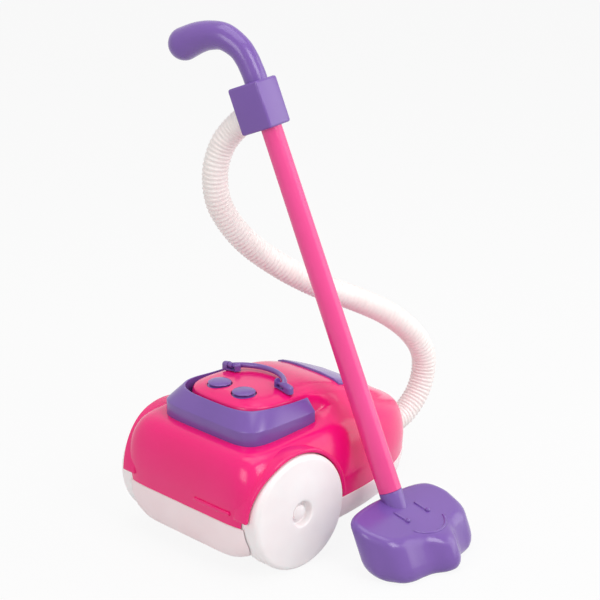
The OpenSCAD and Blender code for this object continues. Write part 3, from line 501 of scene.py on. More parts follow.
# The top shell: rings from the seam to the deck
shell = {
    "half": 101,
    "deckHalf": 53,
    "rear": 65.5,
    "front": 227,
    "deckSet": 45.3,
    "noseSet": 40.4,
    "seamZ": 56,
    "deckZ": 164,
    "crestY": 70,
    "widestY": 30,
    "fillY": 60,
    "fillOver": 10,
    "nosePower": 2.1,
    "noseFall": 1.5,
    "columns": 64,
    "wall": 2.5,
    "smoothing": 2,
    # shares of the half width and of the deck's half width, insets behind and at the nose,
    # heights behind, at the crest and at the nose, widening and lift ahead of the bumper's arms,
    # and the power of the curve behind
    "rowNames": "half deckHalf rearSet noseSet rearZ crestZ noseZ widen lift power".split(),
    "rows": [
        (0.99, 0, 0.032, 0.036, 0, 0, 0, 0, 0, 9),
        (1, 0, 0, 0, 0.23, 0.23, 0.16, 0, 0, 9),
        (0.972, 0, 0.045, 0.051, 0.425, 0.445, 0.285, 0, 0, 9),
        (0.905, 0, 0.194, 0.138, 0.585, 0.637, 0.37, 0, 0, 8),
        (0.804, 0, 0.387, 0.275, 0.65, 0.71, 0.425, 0, 0, 8),
        (0, 1.048, 0.943, 0.398, 0.665, 0.695, 0.445, 0.274, 0.135, 3.2),
        (0, 1.029, 0.962, 0.5, 0.89, 0.895, 0.47, 0.084, 0.01, 3.2),
        (0, 1, 1.001, 0.601, 0.935, 0.93, 0.49, 0, 0, 3.2),
        (0, 0.819, 1.175, 0.775, 0.968, 0.965, 0.53, 0, 0, 3),
        (0, 0.381, 1.33, 0.999, 0.985, 0.985, 0.585, 0, 0, 3),
    ],
    # the rows that are drawn, with some between the ones above
    "levels": [0, 0.15, 0.6, 1, 2, 3, 4, 4.5, 4.86, 5, 5.15, 5.5, 5.85, 6.1, 6.6, 7, 7.4, 8, 8.5, 9],
}


# A row of the shell, or one between two rows
def shellRow(k):
    low = min(int(k), len(shell["rows"]) - 2)
    ends = zip(shell["rowNames"], shell["rows"][low], shell["rows"][low + 1])
    return {name: mix(a, b, k - low) for name, a, b in ends}


# The share of the bulge ahead of the bumper's arms
def shellFill(y):
    return ease((y - shell["fillY"]) / shell["fillOver"])


# The rear and the nose of a row
def shellEnds(k):
    row = shellRow(k)
    rear = -shell["rear"] + row["rearSet"] * shell["deckSet"]
    nose = shell["front"] - row["noseSet"] * shell["noseSet"]
    return rear, nose


# Half the widest width of a row
def shellHalf(k, y):
    row = shellRow(k)
    widening = row["widen"] * shellFill(y) * (shell["half"] - shell["deckHalf"])
    return row["half"] * shell["half"] + row["deckHalf"] * shell["deckHalf"] + widening


# The height of a row at a place along the body
def shellZ(k, y):
    row = shellRow(k)
    rear, nose = shellEnds(k)
    ahead = min(1, max(0, (y - shell["crestY"]) / (nose - shell["crestY"])))
    if y < shell["crestY"]:
        share = mix(row["rearZ"], row["crestZ"], ease((y - rear) / (shell["crestY"] - rear)))
    else:
        share = mix(row["crestZ"], row["noseZ"], ahead ** shell["noseFall"])
    share += row["lift"] * shellFill(y) * (1 - ahead)
    return shell["seamZ"] + (shell["deckZ"] - shell["seamZ"]) * share


# A point of the shell by row and by angle seen from above
def shellPoint(k, angle):
    rear, nose = shellEnds(k)
    across, along = math.cos(angle), math.sin(angle)
    power = shellRow(k)["power"] if along < 0 else shell["nosePower"]
    reach = (abs(across) ** power + abs(along) ** power) ** (1 / power)
    across, along = across / reach, along / reach
    y = shell["widestY"] + along * (shell["widestY"] - rear if along < 0 else nose - shell["widestY"])
    return Vector((shellHalf(k, y) * across, y, shellZ(k, y)))


# Half the width of a row at a place along the body
def shellX(k, y):
    rear, nose = shellEnds(k)
    behind = y < shell["widestY"]
    along = abs(y - shell["widestY"]) / (shell["widestY"] - rear if behind else nose - shell["widestY"])
    power = shellRow(k)["power"] if behind else shell["nosePower"]
    return shellHalf(k, y) * max(0, 1 - along**power) ** (1 / power)


wheelRoom = {"radius": 61.2, "inner": 74.5, "axleZ": 60, "outer": 160, "sides": 160}
buttons = {"pitch": 36, "y": 3, "hole": 26, "cutLow": 120, "cutHigh": 200}
inlet = {"z": 57, "hole": 39.1, "cutRear": 190, "cutFront": 260}


# Room for both wheels, for the shell and for the tub
def wheelCutters(name):
    return [
        roundBar(
            name + sideName,
            onBody(side * wheelRoom["inner"], 0, wheelRoom["axleZ"]),
            onBody(side * wheelRoom["outer"], 0, wheelRoom["axleZ"]),
            2 * wheelRoom["radius"],
            wheelRoom["sides"],
        )
        for sideName, side in bothSides.items()
    ]


# Room for the hose inlet, for the shell and for the tub
def inletCutter(name):
    rear = onBody(0, inlet["cutRear"], inlet["z"])
    front = onBody(0, inlet["cutFront"], inlet["z"])
    return roundBar(name, rear, front, inlet["hole"])


columns = shell["columns"]
shellRings = [
    [onBody(*shellPoint(k, 2 * math.pi * i / columns)) for i in range(columns)] for k in shell["levels"]
]
bm, shellLoops = loft(shellRings)
# The deck is closed with strips from side to side
top = shellLoops[-1]
for i in range(columns // 2):
    right = [top[(columns * 3 // 4 + i + j) % columns] for j in (0, 1)]
    left = [top[(columns * 3 // 4 - i - j) % columns] for j in (1, 0)]
    corners = list(dict.fromkeys(right + left))
    bm.faces.new(corners)
topShell = makePiece("topShell", bm, pinkAbs)
smooth = topShell.modifiers.new("round", "SUBSURF")
smooth.levels = shell["smoothing"]
smooth.render_levels = shell["smoothing"]
wall = topShell.modifiers.new("wall", "SOLIDIFY")
wall.thickness = shell["wall"] * mm
wall.offset = -1
shellCutters = wheelCutters("wheelRoom")
for sideName, side in bothSides.items():
    x = side * buttons["pitch"] / 2
    low = onBody(x, buttons["y"], buttons["cutLow"])
    high = onBody(x, buttons["y"], buttons["cutHigh"])
    shellCutters.append(roundBar("buttonHole" + sideName, low, high, buttons["hole"]))
shellCutters.append(inletCutter("inletHole"))
cutAway(topShell, shellCutters)
settle(topShell, sharp=38, cutters=shellCutters)
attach(topShell, "canister")
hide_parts("top_shell")
print("top shell made:", len(topShell.data.polygons), "faces")

# A rounded lip over each wheel, drawn in to the shell's corner at its rear end
lip = {
    "inner": 75,
    "outer": 101.3,
    "low": 61.2,
    "high": 65.5,
    "edge": 1.4,
    "sweep": 176,
    "steps": 64,
    "tuckFrom": 110,
    "tuckOver": 66,
    "tucked": 93.5,
}
for sideName, side in bothSides.items():
    sections = []
    for i in range(lip["steps"] + 1):
        angle = lip["sweep"] * i / lip["steps"]
        along, rise = math.cos(math.radians(angle)), math.sin(math.radians(angle))
        outer = mix(lip["outer"], lip["tucked"], ease((angle - lip["tuckFrom"]) / lip["tuckOver"]))
        sections.append(
            [
                onBody(side * x, radius * along, wheelRoom["axleZ"] + radius * rise)
                for x, radius in (
                    (lip["inner"], lip["low"]),
                    (outer, lip["low"]),
                    (outer, lip["high"]),
                    (lip["inner"], lip["high"]),
                )
            ]
        )
    bm = closedLoft(sections)
    bmesh.ops.recalc_face_normals(bm, faces=bm.faces)
    roundEdges(bm, sharpEdges(bm, over=40), lip["edge"], segments=3)
    wheelLip = makePiece("wheelLip" + sideName, bm, pinkAbs)
    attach(wheelLip, "canister")
print("wheel lips made")

# Violet bumper round the rear of the deck
bumper = {
    "outer": 4.42,
    "inner": 4.88,
    "height": 29.5,
    "sink": 1.5,
    "front": 52,
    "stations": 64,
    "bevelAt": 0.5,
    "crown": 0.12,
    "round": 3.4,
    "armFall": 0.17,
    "fallFrom": -20,
}
start = math.atan2(bumper["front"] - shell["widestY"], shellEnds(bumper["outer"])[1] - shell["widestY"])
sections = []
for s in range(bumper["stations"] + 1):
    angle = mix(start, -math.pi - start, s / bumper["stations"])
    outside = shellPoint(bumper["outer"], angle)
    inside = shellPoint(bumper["inner"], angle)
    forward = (outside.y - bumper["fallFrom"]) / (bumper["front"] - bumper["fallFrom"])
    up = Vector((0, 0, bumper["height"] * (1 - bumper["armFall"] * ease(forward))))
    drop = Vector((0, 0, bumper["sink"]))
    sections.append(
        [
            onBody(*p)
            for p in (
                inside - drop,
                outside - drop,
                outside + bumper["bevelAt"] * up,
                inside.lerp(outside, bumper["crown"]) + up,
                inside + up,
            )
        ]
    )
bm = closedLoft(sections)
bmesh.ops.recalc_face_normals(bm, faces=bm.faces)
roundEdges(bm, sharpEdges(bm, over=25), bumper["round"], segments=4)
rearBumper = makePiece("rearBumper", bm, violetAbs, sharp=50)
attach(rearBumper, "canister")
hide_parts("rear_bumper")
print("rear bumper made")

# Violet band across the hood
band = {
    "rear": 110,
    "width": 36,
    "rows": 12,
    "lift": 2.1,
    "thick": 3.2,
    "round": 0.8,
    "rings": [7.15, 7.4, 7.7, 8, 8.3, 8.6, 9],
}
bm = bmesh.new()
acrossCount = 2 * len(band["rings"])
bmesh.ops.create_grid(bm, x_segments=acrossCount - 1, y_segments=band["rows"], size=1)
for vert in bm.verts:
    column = round((vert.co.x + 1) / 2 * (acrossCount - 1))
    y = band["rear"] + band["width"] * (vert.co.y + 1) / 2
    half = len(band["rings"])
    k = band["rings"][column] if column < half else band["rings"][acrossCount - 1 - column]
    side = 1 if column < half else -1
    vert.co = onBody(side * shellX(k, y), y, shellZ(k, y) + band["lift"])
bmesh.ops.recalc_face_normals(bm, faces=bm.faces)
if sum(f.normal.z for f in bm.faces) < 0:
    bmesh.ops.reverse_faces(bm, faces=bm.faces)
bmesh.ops.solidify(bm, geom=bm.faces[:], thickness=band["thick"] * mm)
roundEdges(bm, sharpEdges(bm, over=50), band["round"], segments=3)
hoodBand = makePiece("hoodBand", bm, violetAbs, sharp=50)
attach(hoodBand, "canister")
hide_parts("hood_band")
print("hood band made")

# Big rear wheels: a fat tread, a nearly flat face and a hub recess
wheel = {
    "radius": 60,
    "inner": 77,
    "outer": 106,
    "dome": 1.6,
    "edge": 6,
    "innerEdge": 4,
    "recess": 26,
    "recessDepth": 8,
    "recessEdge": 2,
    "cornerRise": 1,
    "cornerIn": 1.2,
    "dish": 3,
    "rim": 8,
    "rimSlope": 1,
    "bore": 6.6,
    "innerEdgeSteps": 6,
    "edgeSteps": 8,
    "faceSteps": 6,
    "recessSteps": 5,
    "steps": 128,
    "weld": 0.001,
}
face = wheel["outer"] - wheel["dome"]
hubRim = wheel["recess"] / 2
boreRadius = wheel["bore"] / 2
rimRadius = wheel["radius"] - wheel["rim"]
# The section from the bore out over the tread and back in to the bore, as places along and off the axle
profile = [
    (wheel["inner"] + wheel["dish"], boreRadius),
    (wheel["inner"] + wheel["dish"], rimRadius),
    (wheel["inner"], rimRadius + wheel["rimSlope"]),
]
for a in quarterTurn(wheel["innerEdgeSteps"]):
    size = wheel["innerEdge"]
    profile.append((wheel["inner"] + size * (1 - math.cos(a)), wheel["radius"] - size * (1 - math.sin(a))))
for a in quarterTurn(wheel["edgeSteps"]):
    size = wheel["edge"]
    profile.append((face - size * (1 - math.sin(a)), wheel["radius"] - size * (1 - math.cos(a))))
for a in quarterTurn(wheel["faceSteps"])[1:-1]:
    share = a / math.radians(90)
    radius = mix(wheel["radius"] - wheel["edge"], hubRim + wheel["recessEdge"], share)
    profile.append((face + wheel["dome"] * math.sin(a), radius))
for a in quarterTurn(wheel["recessSteps"]):
    size = wheel["recessEdge"]
    profile.append((wheel["outer"] - size * (1 - math.cos(a)), hubRim + size * (1 - math.sin(a))))
hubFloor = wheel["outer"] - wheel["recessDepth"]
profile.append((hubFloor + wheel["cornerRise"], hubRim - wheel["cornerIn"]))
profile.append((hubFloor, hubRim - 2 * wheel["cornerIn"]))
profile.append((hubFloor, boreRadius))
for sideName, side in bothSides.items():
    bm = bmesh.new()
    section = [bm.verts.new(onBody(side * x, 0, wheelRoom["axleZ"] + r)) for x, r in profile]
    edges = [bm.edges.new((section[i - 1], section[i])) for i in range(len(section))]
    bmesh.ops.spin(
        bm,
        geom=section + edges,
        cent=onBody(0, 0, wheelRoom["axleZ"]),
        axis=(1, 0, 0),
        angle=2 * math.pi,
        steps=wheel["steps"],
        use_merge=True,
        use_duplicate=False,
    )
    bmesh.ops.remove_doubles(bm, verts=bm.verts, dist=wheel["weld"] * mm)
    rearWheel = makePiece("rearWheel" + sideName, bm, wheelPe, sharp=35)
    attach(rearWheel, sideName.lower() + " wheel")
    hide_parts(sideName.lower() + "_wheel")
print("rear wheels made")

# White tub below the seam
tub = {
    "columns": 96,
    # height, inset at the sides, inset behind
    "levels": [
        (55.6, 0.6, 0.6),
        (55, 0, 0),
        (50, 0.3, 0.1),
        (42, 2.5, 0.4),
        (34, 6, 0.9),
        (28, 10, 1.8),
        (22.5, 17, 3.6),
        (19.4, 21.2, 5),
        (18.3, 23.4, 5.9),
        (18, 25.5, 7.6),
    ],
    "pocketY": 165,
    "pocketWide": 56,
    "pocketTop": 37,
    "screws": [(45.45, -31.9), (60.6, 104.2), (34.3, 181.7)],
    "screwHole": 8,
    "screwLow": 10,
    "screwTop": 21.6,
    "screwSides": 32,
}


# One ring of the tub, under the shell's lowest row
def tubRing(z, sideInset, rearInset):
    rear, nose = shellEnds(0)
    seamRow = shellRow(0)
    points = []
    for i in range(tub["columns"]):
        angle = 2 * math.pi * i / tub["columns"]
        across, along = math.cos(angle), math.sin(angle)
        power = seamRow["power"] if along < 0 else shell["nosePower"]
        reach = (abs(across) ** power + abs(along) ** power) ** (1 / power)
        behind = shell["widestY"] - rear - rearInset
        front = nose - (sideInset + rearInset) / 2 - shell["widestY"]
        points.append(
            onBody(
                (shell["half"] * seamRow["half"] - sideInset) * across / reach,
                shell["widestY"] + along / reach * (behind if along < 0 else front),
                z,
            )
        )
    return points


baseTub = makePiece("baseTub", closedLoft([tubRing(*level) for level in tub["levels"]]), blushPp)
tubCutters = wheelCutters("wheelWell")
pocketFoot = onBody(0, tub["pocketY"], 0)
pocketRoof = onBody(0, tub["pocketY"], tub["pocketTop"])
tubCutters.append(roundBar("casterPocket", pocketFoot, pocketRoof, tub["pocketWide"]))
tubCutters.append(inletCutter("inletNotch"))
for place, (x, y) in enumerate(tub["screws"]):
    for sideName, side in bothSides.items():
        low = onBody(side * x, y, tub["screwLow"])
        high = onBody(side * x, y, tub["screwTop"])
        name = "screwHole%d%s" % (place, sideName)
        tubCutters.append(roundBar(name, low, high, tub["screwHole"], tub["screwSides"]))
cutAway(baseTub, tubCutters)
settle(baseTub, sharp=38, cutters=tubCutters)
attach(baseTub, "canister")
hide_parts("base_tub")
print("tub made")

# Handle block on top of the wand
block = {"back": -25, "front": 13, "half": 17.5, "low": 452, "high": 500, "round": 2.6}
bm = bmesh.new()
bmesh.ops.create_cube(bm, size=1)
for vert in bm.verts:
    vert.co = onWand(
        block["front"] if vert.co.x > 0 else block["back"],
        block["half"] if vert.co.y > 0 else -block["half"],
        block["high"] if vert.co.z > 0 else block["low"],
    )
roundEdges(bm, bm.edges[:], block["round"], segments=4)
handleBlock = makePiece("handleBlock", bm, violetAbs, sharp=60)
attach(handleBlock, "wand")
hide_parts("handle_block")

# Cane grip: places behind the wand's axis and over the block, with the thickness there
grip = {
    "sides": 40,
    "stepsPerSpan": 6,
    "thickest": 34,
    "tipSteps": 8,
    "tipSweep": 86,
    "line": [
        (0, -3, 23.6),
        (0, 6, 23.6),
        (0.9, 14.5, 23.6),
        (2.2, 23, 23.9),
        (7, 36, 24.8),
        (20.2, 50.5, 27.4),
        (37, 56.7, 29.4),
        (52.8, 58.4, 31.7),
        (70.4, 57.3, 34),
    ],
}
gripLine = curveThrough([(-x, z, d) for x, z, d in grip["line"]], grip["stepsPerSpan"])
across = Vector((0, 1, 0))
gripRings = []
for i, (x, z, d) in enumerate(gripLine):
    ahead = gripLine[min(i + 1, len(gripLine) - 1)] - gripLine[max(i - 1, 0)]
    ahead = Vector((ahead.x, 0, ahead.y)).normalized()
    centre = Vector((x, 0, block["high"] + z))
    radius = min(d, grip["thickest"]) / 2
    rise = ahead.cross(across)
    gripRings.append(circlePoints(centre, radius, across, rise, grip["sides"]))
# The last section goes on into a round tip
for i in range(1, grip["tipSteps"] + 1):
    a = math.radians(grip["tipSweep"] * i / grip["tipSteps"])
    tip = centre + ahead * radius * math.sin(a)
    gripRings.append(circlePoints(tip, radius * math.cos(a), across, rise, grip["sides"]))
bm = closedLoft([[onWand(*point) for point in ring] for ring in gripRings])
handleGrip = makePiece("handleGrip", bm, violetAbs, sharp=60)
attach(handleGrip, "wand")
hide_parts("handle_grip")
print("handle made")

# Floor nozzle: leaning walls, rounded edges, a slanted top and an open sole
nozzle = {
    "width": 142,
    "length": 70.3,
    "back": 17,
    "shift": 4,
    "aside": -1.5,
    "topZ": 53,
    "slope": 14.5,
    "lean": 21,
    "turn": -4.5,
    "topRound": 8,
    "soleRound": 13,
    "soleRise": 17,
    "crownIn": 1,
    "wall": 4,
    # inset and depth of the hollow's roof, of its edge and of the lip round its mouth
    "roofIn": 9,
    "roofUnder": 7,
    "roofEdgeIn": 6,
    "roofEdgeUnder": 9,
    "lipRise": 1.5,
    "lipOut": 0.8,
    "roundSteps": 5,
    "stepsPerSpan": 5,
    # share of the length from the back, share of the half width
    "outline": [
        (0, 0),
        (0, 0.35),
        (0.04, 0.72),
        (0.13, 0.93),
        (0.33, 1),
        (0.5, 0.96),
        (0.67, 0.88),
        (0.765, 0.72),
        (0.8, 0.52),
        (0.86, 0.31),
        (0.99, 0.14),
        (1.035, 0),
    ],
}
nozzleMiddle = nozzle["shift"] - nozzle["topZ"] * math.tan(math.radians(wand["lean"]))
nozzleLean = math.radians(nozzle["lean"])
nozzleTurn = Matrix.Rotation(math.radians(nozzle["turn"]), 4, "Z")
nozzleUp = Vector((-math.sin(nozzleLean), 0, math.cos(nozzleLean)))
nozzleFrame = Matrix.Rotation(-nozzleLean, 4, "Y") @ nozzleTurn
nozzleTop = Vector((nozzleMiddle, nozzle["aside"], nozzle["topZ"]))
slant = math.tan(math.radians(nozzle["slope"]))


# One ring of the nozzle, drawn in by an inset, on a plane over the sole or under the top
def nozzleRing(inset, overSole=None, underTop=None):
    rear = -nozzle["back"] + inset
    length = nozzle["length"] - 2 * inset
    halfWidth = nozzle["width"] / 2 - inset
    half = [(rear + s * length, w * halfWidth) for s, w in nozzle["outline"]]
    around = half + [(x, -y) for x, y in half[-2::-1]]
    line = curveThrough([(x, y, 0) for x, y in around], nozzle["stepsPerSpan"])[:-1]
    ring = []
    for p in line:
        q = nozzleFrame @ p + nozzleTop
        if overSole is not None:
            t = (overSole - q.z) / nozzleUp.z
        else:
            level = nozzle["topZ"] - underTop - (q.x - nozzleMiddle) * slant
            t = (level - q.z) / (nozzleUp.z + nozzleUp.x * slant)
        q = q + t * nozzleUp
        ring.append(wandFoot @ (q * mm))
    return ring


soleIn = nozzle["soleRound"] + nozzle["wall"]
# From the hollow's roof out over the lip of the mouth, up the walls and over the top
nozzleRings = [
    nozzleRing(soleIn + nozzle["roofIn"], underTop=nozzle["roofUnder"]),
    nozzleRing(soleIn + nozzle["roofEdgeIn"], underTop=nozzle["roofEdgeUnder"]),
    nozzleRing(soleIn, overSole=nozzle["lipRise"]),
    nozzleRing(soleIn - nozzle["lipOut"], overSole=0),
]
for a in quarterTurn(nozzle["roundSteps"]):
    inset = nozzle["soleRound"] * (1 - math.sin(a))
    nozzleRings.append(nozzleRing(inset, overSole=nozzle["soleRise"] * (1 - math.cos(a))))
for a in quarterTurn(nozzle["roundSteps"]):
    inset = nozzle["topRound"] * (1 - math.cos(a))
    nozzleRings.append(nozzleRing(inset, underTop=nozzle["topRound"] * (1 - math.sin(a))))
nozzleRings.append(nozzleRing(nozzle["topRound"] + nozzle["crownIn"], underTop=0))
bm = closedLoft(nozzleRings)
floorNozzle = makePiece("floorNozzle", bm, violetAbs, sharp=50)
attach(floorNozzle, "wand")
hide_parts("nozzle")

# Neck that the wand stands on
neck = {"diameter": 23.8, "low": 40, "high": 69.8, "edge": 0.8, "soften": 0.3, "capIn": 4, "sides": 64}
neckRadius = neck["diameter"] / 2
softened = neck["soften"] * neck["edge"]
neckProfile = [
    (neckRadius - neck["capIn"], neck["low"]),
    (neckRadius, neck["low"]),
    (neckRadius, neck["high"] - neck["edge"]),
    (neckRadius - softened, neck["high"] - softened),
    (neckRadius - neck["edge"], neck["high"]),
    (neckRadius - neck["capIn"], neck["high"]),
]
neckRings = []
for radius, z in neckProfile:
    ring = circlePoints(Vector((0, 0, z)), radius, Vector((1, 0, 0)), Vector((0, 1, 0)), neck["sides"])
    neckRings.append([onWand(*point) for point in ring])
bm = closedLoft(neckRings)
nozzleNeck = makePiece("nozzleNeck", bm, violetAbs, sharp=50)
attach(nozzleNeck, "wand")

# Raised marks on the nozzle's top: two bars with a stud each, and a curved ridge
marks = {
    "pitch": 34,
    "start": 9,
    "length": 17,
    "width": 3.4,
    "height": 1.7,
    "edge": 0.9,
    "stud": 5.2,
    "studRise": 0.5,
    "studSides": (24, 16),
    "ridgeMid": 24,
    "ridgeRadius": 30,
    "ridgeSink": 0.4,
    "ridgeSides": 16,
    "ridgeSteps": 48,
    "sweep": 116,
    "weld": 0.0001,
}
markFrame = (
    wandFoot
    @ Matrix.Translation(Vector((nozzleMiddle, 0, nozzle["topZ"])) * mm)
    @ Matrix.Rotation(math.radians(nozzle["slope"]), 4, "Y")
    @ nozzleTurn
)


# A move in millimetres on the nozzle's top
def onTop(x, y, z):
    return Matrix.Translation(Vector((x, y, z)) * mm)


bm = bmesh.new()
for side in bothSides.values():
    y = side * marks["pitch"] / 2
    size = Matrix.Diagonal((marks["length"] * mm, marks["width"] * mm, 2 * marks["height"] * mm, 1))
    middle = onTop(marks["start"] + marks["length"] / 2, y, 0)
    bar = bmesh.ops.create_cube(bm, size=1, matrix=markFrame @ middle @ size)["verts"]
    roundEdges(bm, list({e for v in bar for e in v.link_edges}), marks["edge"], segments=3)
    bmesh.ops.create_uvsphere(
        bm,
        u_segments=marks["studSides"][0],
        v_segments=marks["studSides"][1],
        radius=marks["stud"] / 2 * mm,
        matrix=markFrame @ onTop(marks["start"] + marks["length"], y, marks["studRise"]),
    )
section = bmesh.ops.create_circle(
    bm,
    cap_ends=True,
    segments=marks["ridgeSides"],
    radius=marks["width"] / 2 * mm,
    matrix=markFrame
    @ onTop(marks["ridgeMid"], 0, -marks["ridgeSink"])
    @ Matrix.Rotation(math.radians(-marks["sweep"] / 2), 4, "Z")
    @ onTop(marks["ridgeRadius"], 0, 0)
    @ Matrix.Rotation(math.radians(90), 4, "X"),
)["verts"]
sectionFaces = [f for f in bm.faces if all(v in section for v in f.verts)]
bmesh.ops.spin(
    bm,
    geom=sectionFaces + section + list({e for f in sectionFaces for e in f.edges}),
    cent=markFrame @ (Vector((marks["ridgeMid"], 0, 0)) * mm),
    axis=markFrame.to_3x3() @ Vector((0, 0, 1)),
    angle=math.radians(marks["sweep"]),
    steps=marks["ridgeSteps"],
    use_duplicate=False,
)
bmesh.ops.remove_doubles(bm, verts=bm.verts, dist=marks["weld"] * mm)
nozzleMarks = makePiece("nozzleMarks", bm, violetAbs, sharp=60)
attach(nozzleMarks, "wand")
print("nozzle made")

# A low rib across the rear wall
rearRib = {"from": 18, "to": 70, "z": 68.5, "high": 4, "proud": 1.3, "sink": 2, "edge": 1.1, "cuts": 9}
wallPower = shellRow(1)["power"]
wallReach = shell["widestY"] + shell["rear"]
bm = bmesh.new()
bmesh.ops.create_cube(bm, size=1)
longEdges = [e for e in bm.edges if abs(e.verts[0].co.x - e.verts[1].co.x) > 0.5]
bmesh.ops.subdivide_edges(bm, edges=longEdges, cuts=rearRib["cuts"])
for vert in bm.verts:
    x = mix(rearRib["from"], rearRib["to"], vert.co.x + 0.5)
    curve = max(0, 1 - (x / shell["half"]) ** wallPower) ** (1 / wallPower)
    wallY = shell["widestY"] - wallReach * curve
    y = wallY - rearRib["proud"] if vert.co.y < 0 else wallY + rearRib["sink"]
    vert.co = onBody(x, y, rearRib["z"] + vert.co.z * rearRib["high"])
roundEdges(bm, bm.edges[:], rearRib["edge"], segments=3)
rearWallRib = makePiece("rearWallRib", bm, pinkAbs, sharp=50)
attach(rearWallRib, "canister")
print("rear rib made")

# Domed tops on the push buttons
dome = {"diameter": 24, "height": 2.6, "sink": 0.3, "sides": (64, 32)}
for sideName in bothSides:
    buttonLow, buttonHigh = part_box(sideName.lower() + "_button")
    buttonTop = Vector(((buttonLow.x + buttonHigh.x) / 2, (buttonLow.y + buttonHigh.y) / 2, buttonHigh.z))
    bm = bmesh.new()
    bmesh.ops.create_uvsphere(
        bm,
        u_segments=dome["sides"][0],
        v_segments=dome["sides"][1],
        radius=1,
        matrix=Matrix.Translation(buttonTop - Vector((0, 0, dome["sink"] * mm)))
        @ Matrix.Diagonal((dome["diameter"] / 2 * mm, dome["diameter"] / 2 * mm, dome["height"] * mm, 1)),
    )
    bmesh.ops.bisect_plane(
        bm,
        geom=bm.verts[:] + bm.edges[:] + bm.faces[:],
        plane_co=buttonTop - Vector((0, 0, 2 * dome["sink"] * mm)),
        plane_no=(0, 0, 1),
        clear_inner=True,
    )
    bmesh.ops.contextual_create(bm, geom=[e for e in bm.edges if e.is_boundary])
    buttonDome = makePiece("buttonDome" + sideName, bm, violetAbs, sharp=50)
    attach(buttonDome, sideName.lower() + " button")
print("button domes made")

# Return springs for the buttons, wound to fill the boxes of the CAD springs
spring = {"wire": 1, "turns": 4, "stepsPerTurn": 32, "sides": 10, "travel": 2.5}
coilSteps = spring["turns"] * spring["stepsPerTurn"]
for sideName in bothSides:
    springLow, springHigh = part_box(sideName.lower() + "_button_spring")
    foot = Vector(((springLow.x + springHigh.x) / 2, (springLow.y + springHigh.y) / 2, springLow.z))
    height = springHigh.z - springLow.z
    wire = spring["wire"] / 2 * mm
    coilRadius = (springHigh.x - springLow.x) / 2 - wire
    coilRings = []
    for i in range(coilSteps + 1):
        angle = 2 * math.pi * i / spring["stepsPerTurn"]
        outward = Vector((math.cos(angle), math.sin(angle), 0))
        rise = wire + (height - 2 * wire) * i / coilSteps
        centre = foot + coilRadius * outward + Vector((0, 0, rise))
        coilRings.append(circlePoints(centre, wire, outward, Vector((0, 0, 1)), spring["sides"]))
    bm = closedLoft(coilRings)
    buttonSpring = makePiece("buttonSpring" + sideName, bm, zincSteel, sharp=60)
    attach(buttonSpring, "canister")
    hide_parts(sideName.lower() + "_button_spring")
    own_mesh(buttonSpring)
print("springs wound")

# CAD pieces that already have their shape
finishes = [
    ("pink_plastic", pinkAbs, ["hose_inlet"]),
    ("pink_plastic", wandAbs, ["wand_tube"]),
    (
        "violet_plastic",
        violetAbs,
        ["left_button", "right_button", "carry_handle", "left_handle_bracket", "right_handle_bracket"],
    ),
    ("wheel_plastic", wheelPe, ["caster_wheel", "axle_caps"]),
    ("blush_plastic", blushPp, ["button_carrier", "caster_fork", "front_hose_cuff"]),
    ("steel", zincSteel, ["rear_axle", "caster_pin", "caster_clip", "base_screws", "carrier_screws"]),
]
for slotName, material, names in finishes:
    for name in names:
        node = cadNodes[name]
        node.data.materials.clear()
        node.data.materials.append(material)
print("CAD pieces dressed")

# Pale floor, soft studio light and a white backdrop
studio = {
    "floorSize": 16,  # metres
    "floorColour": "#D6D6D6",
    "floorRough": 0.9,
    "whiteShare": 0.9,
    "backdropColour": "#FFFFFF",
    "ambient": 0.54,
}


# 1 for rays that show the background: from the camera, off gloss or through glass
def showsBackground(tree):
    rays = addNode(tree, "ShaderNodeLightPath")
    seen = rays.outputs["Is Camera Ray"]
    for ray in ("Is Glossy Ray", "Is Transmission Ray"):
        either = addNode(tree, "ShaderNodeMath", None, {0: seen, 1: rays.outputs[ray]}, operation="MAXIMUM")
        seen = either.outputs["Value"]
    return seen


bm = bmesh.new()
bmesh.ops.create_grid(bm, x_segments=1, y_segments=1, size=studio["floorSize"] / 2)
floorMesh = bpy.data.meshes.new("studioFloor")
bm.to_mesh(floorMesh)
bm.free()
studioFloor = bpy.data.objects.new("studioFloor", floorMesh)
bpy.context.scene.collection.objects.link(studioFloor)
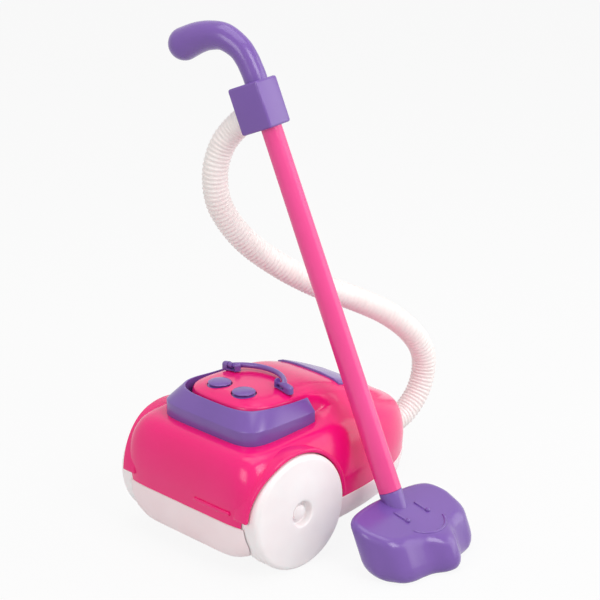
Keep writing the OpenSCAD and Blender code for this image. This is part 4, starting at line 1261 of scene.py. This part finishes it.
# Matt paper: no shine, near white to the camera, and it keeps a faint shadow
floorMaterial = bpy.data.materials.new("matt paper floor, white")
floorMaterial.use_nodes = True
floorTree = floorMaterial.node_tree
floorShader = floorTree.nodes["Principled BSDF"]
floorShader.inputs["Base Color"].default_value = linear(studio["floorColour"])
floorShader.inputs["Roughness"].default_value = studio["floorRough"]
floorShader.inputs["Specular IOR Level"].default_value = 0
glow = addNode(floorTree, "ShaderNodeEmission", {"Strength": 1.0})
seen = addNode(
    floorTree,
    "ShaderNodeMath",
    {1: studio["whiteShare"]},
    {0: showsBackground(floorTree)},
    operation="MULTIPLY",
)
floorMix = addNode(
    floorTree,
    "ShaderNodeMixShader",
    None,
    {0: seen.outputs["Value"], 1: floorShader.outputs["BSDF"], 2: glow.outputs["Emission"]},
)
floorTree.links.new(floorMix.outputs["Shader"], floorTree.nodes["Material Output"].inputs["Surface"])
floorMesh.materials.append(floorMaterial)

world = bpy.data.worlds.new("studio")
bpy.context.scene.world = world
world.use_nodes = True
worldTree = world.node_tree
backdrop = worldTree.nodes["Background"]
backdrop.inputs["Color"].default_value = linear(studio["backdropColour"])
worldLevel = addNode(
    worldTree,
    "ShaderNodeMapRange",
    {"To Min": studio["ambient"], "To Max": 1.0},
    {"Value": showsBackground(worldTree)},
)
worldTree.links.new(worldLevel.outputs["Result"], backdrop.inputs["Strength"])

lamps = {
    "keyLamp": {"place": (1500, 100, 1500), "aim": (60, 60, 150), "size": 900, "power": 13},
    "topLamp": {"place": (0, 200, 1900), "aim": (0, 60, 100), "size": 1300, "power": 10},
    "fillLamp": {"place": (200, -2000, 1200), "aim": (20, 40, 120), "size": 1000, "power": 11},
    "sideLamp": {"place": (1200, 1560, 500), "aim": (60, 80, 200), "size": 1800, "power": 16},
}
for name, lamp in lamps.items():
    lampData = bpy.data.lights.new(name, "AREA")
    lampData.size = lamp["size"] * mm
    lampData.energy = lamp["power"]
    lampObject = bpy.data.objects.new(name, lampData)
    bpy.context.scene.collection.objects.link(lampObject)
    lampObject.location = onBody(*lamp["place"])
    aim = onBody(*lamp["aim"]) - lampObject.location
    lampObject.rotation_euler = aim.to_track_quat("-Z", "Y").to_euler()
print("studio lit")
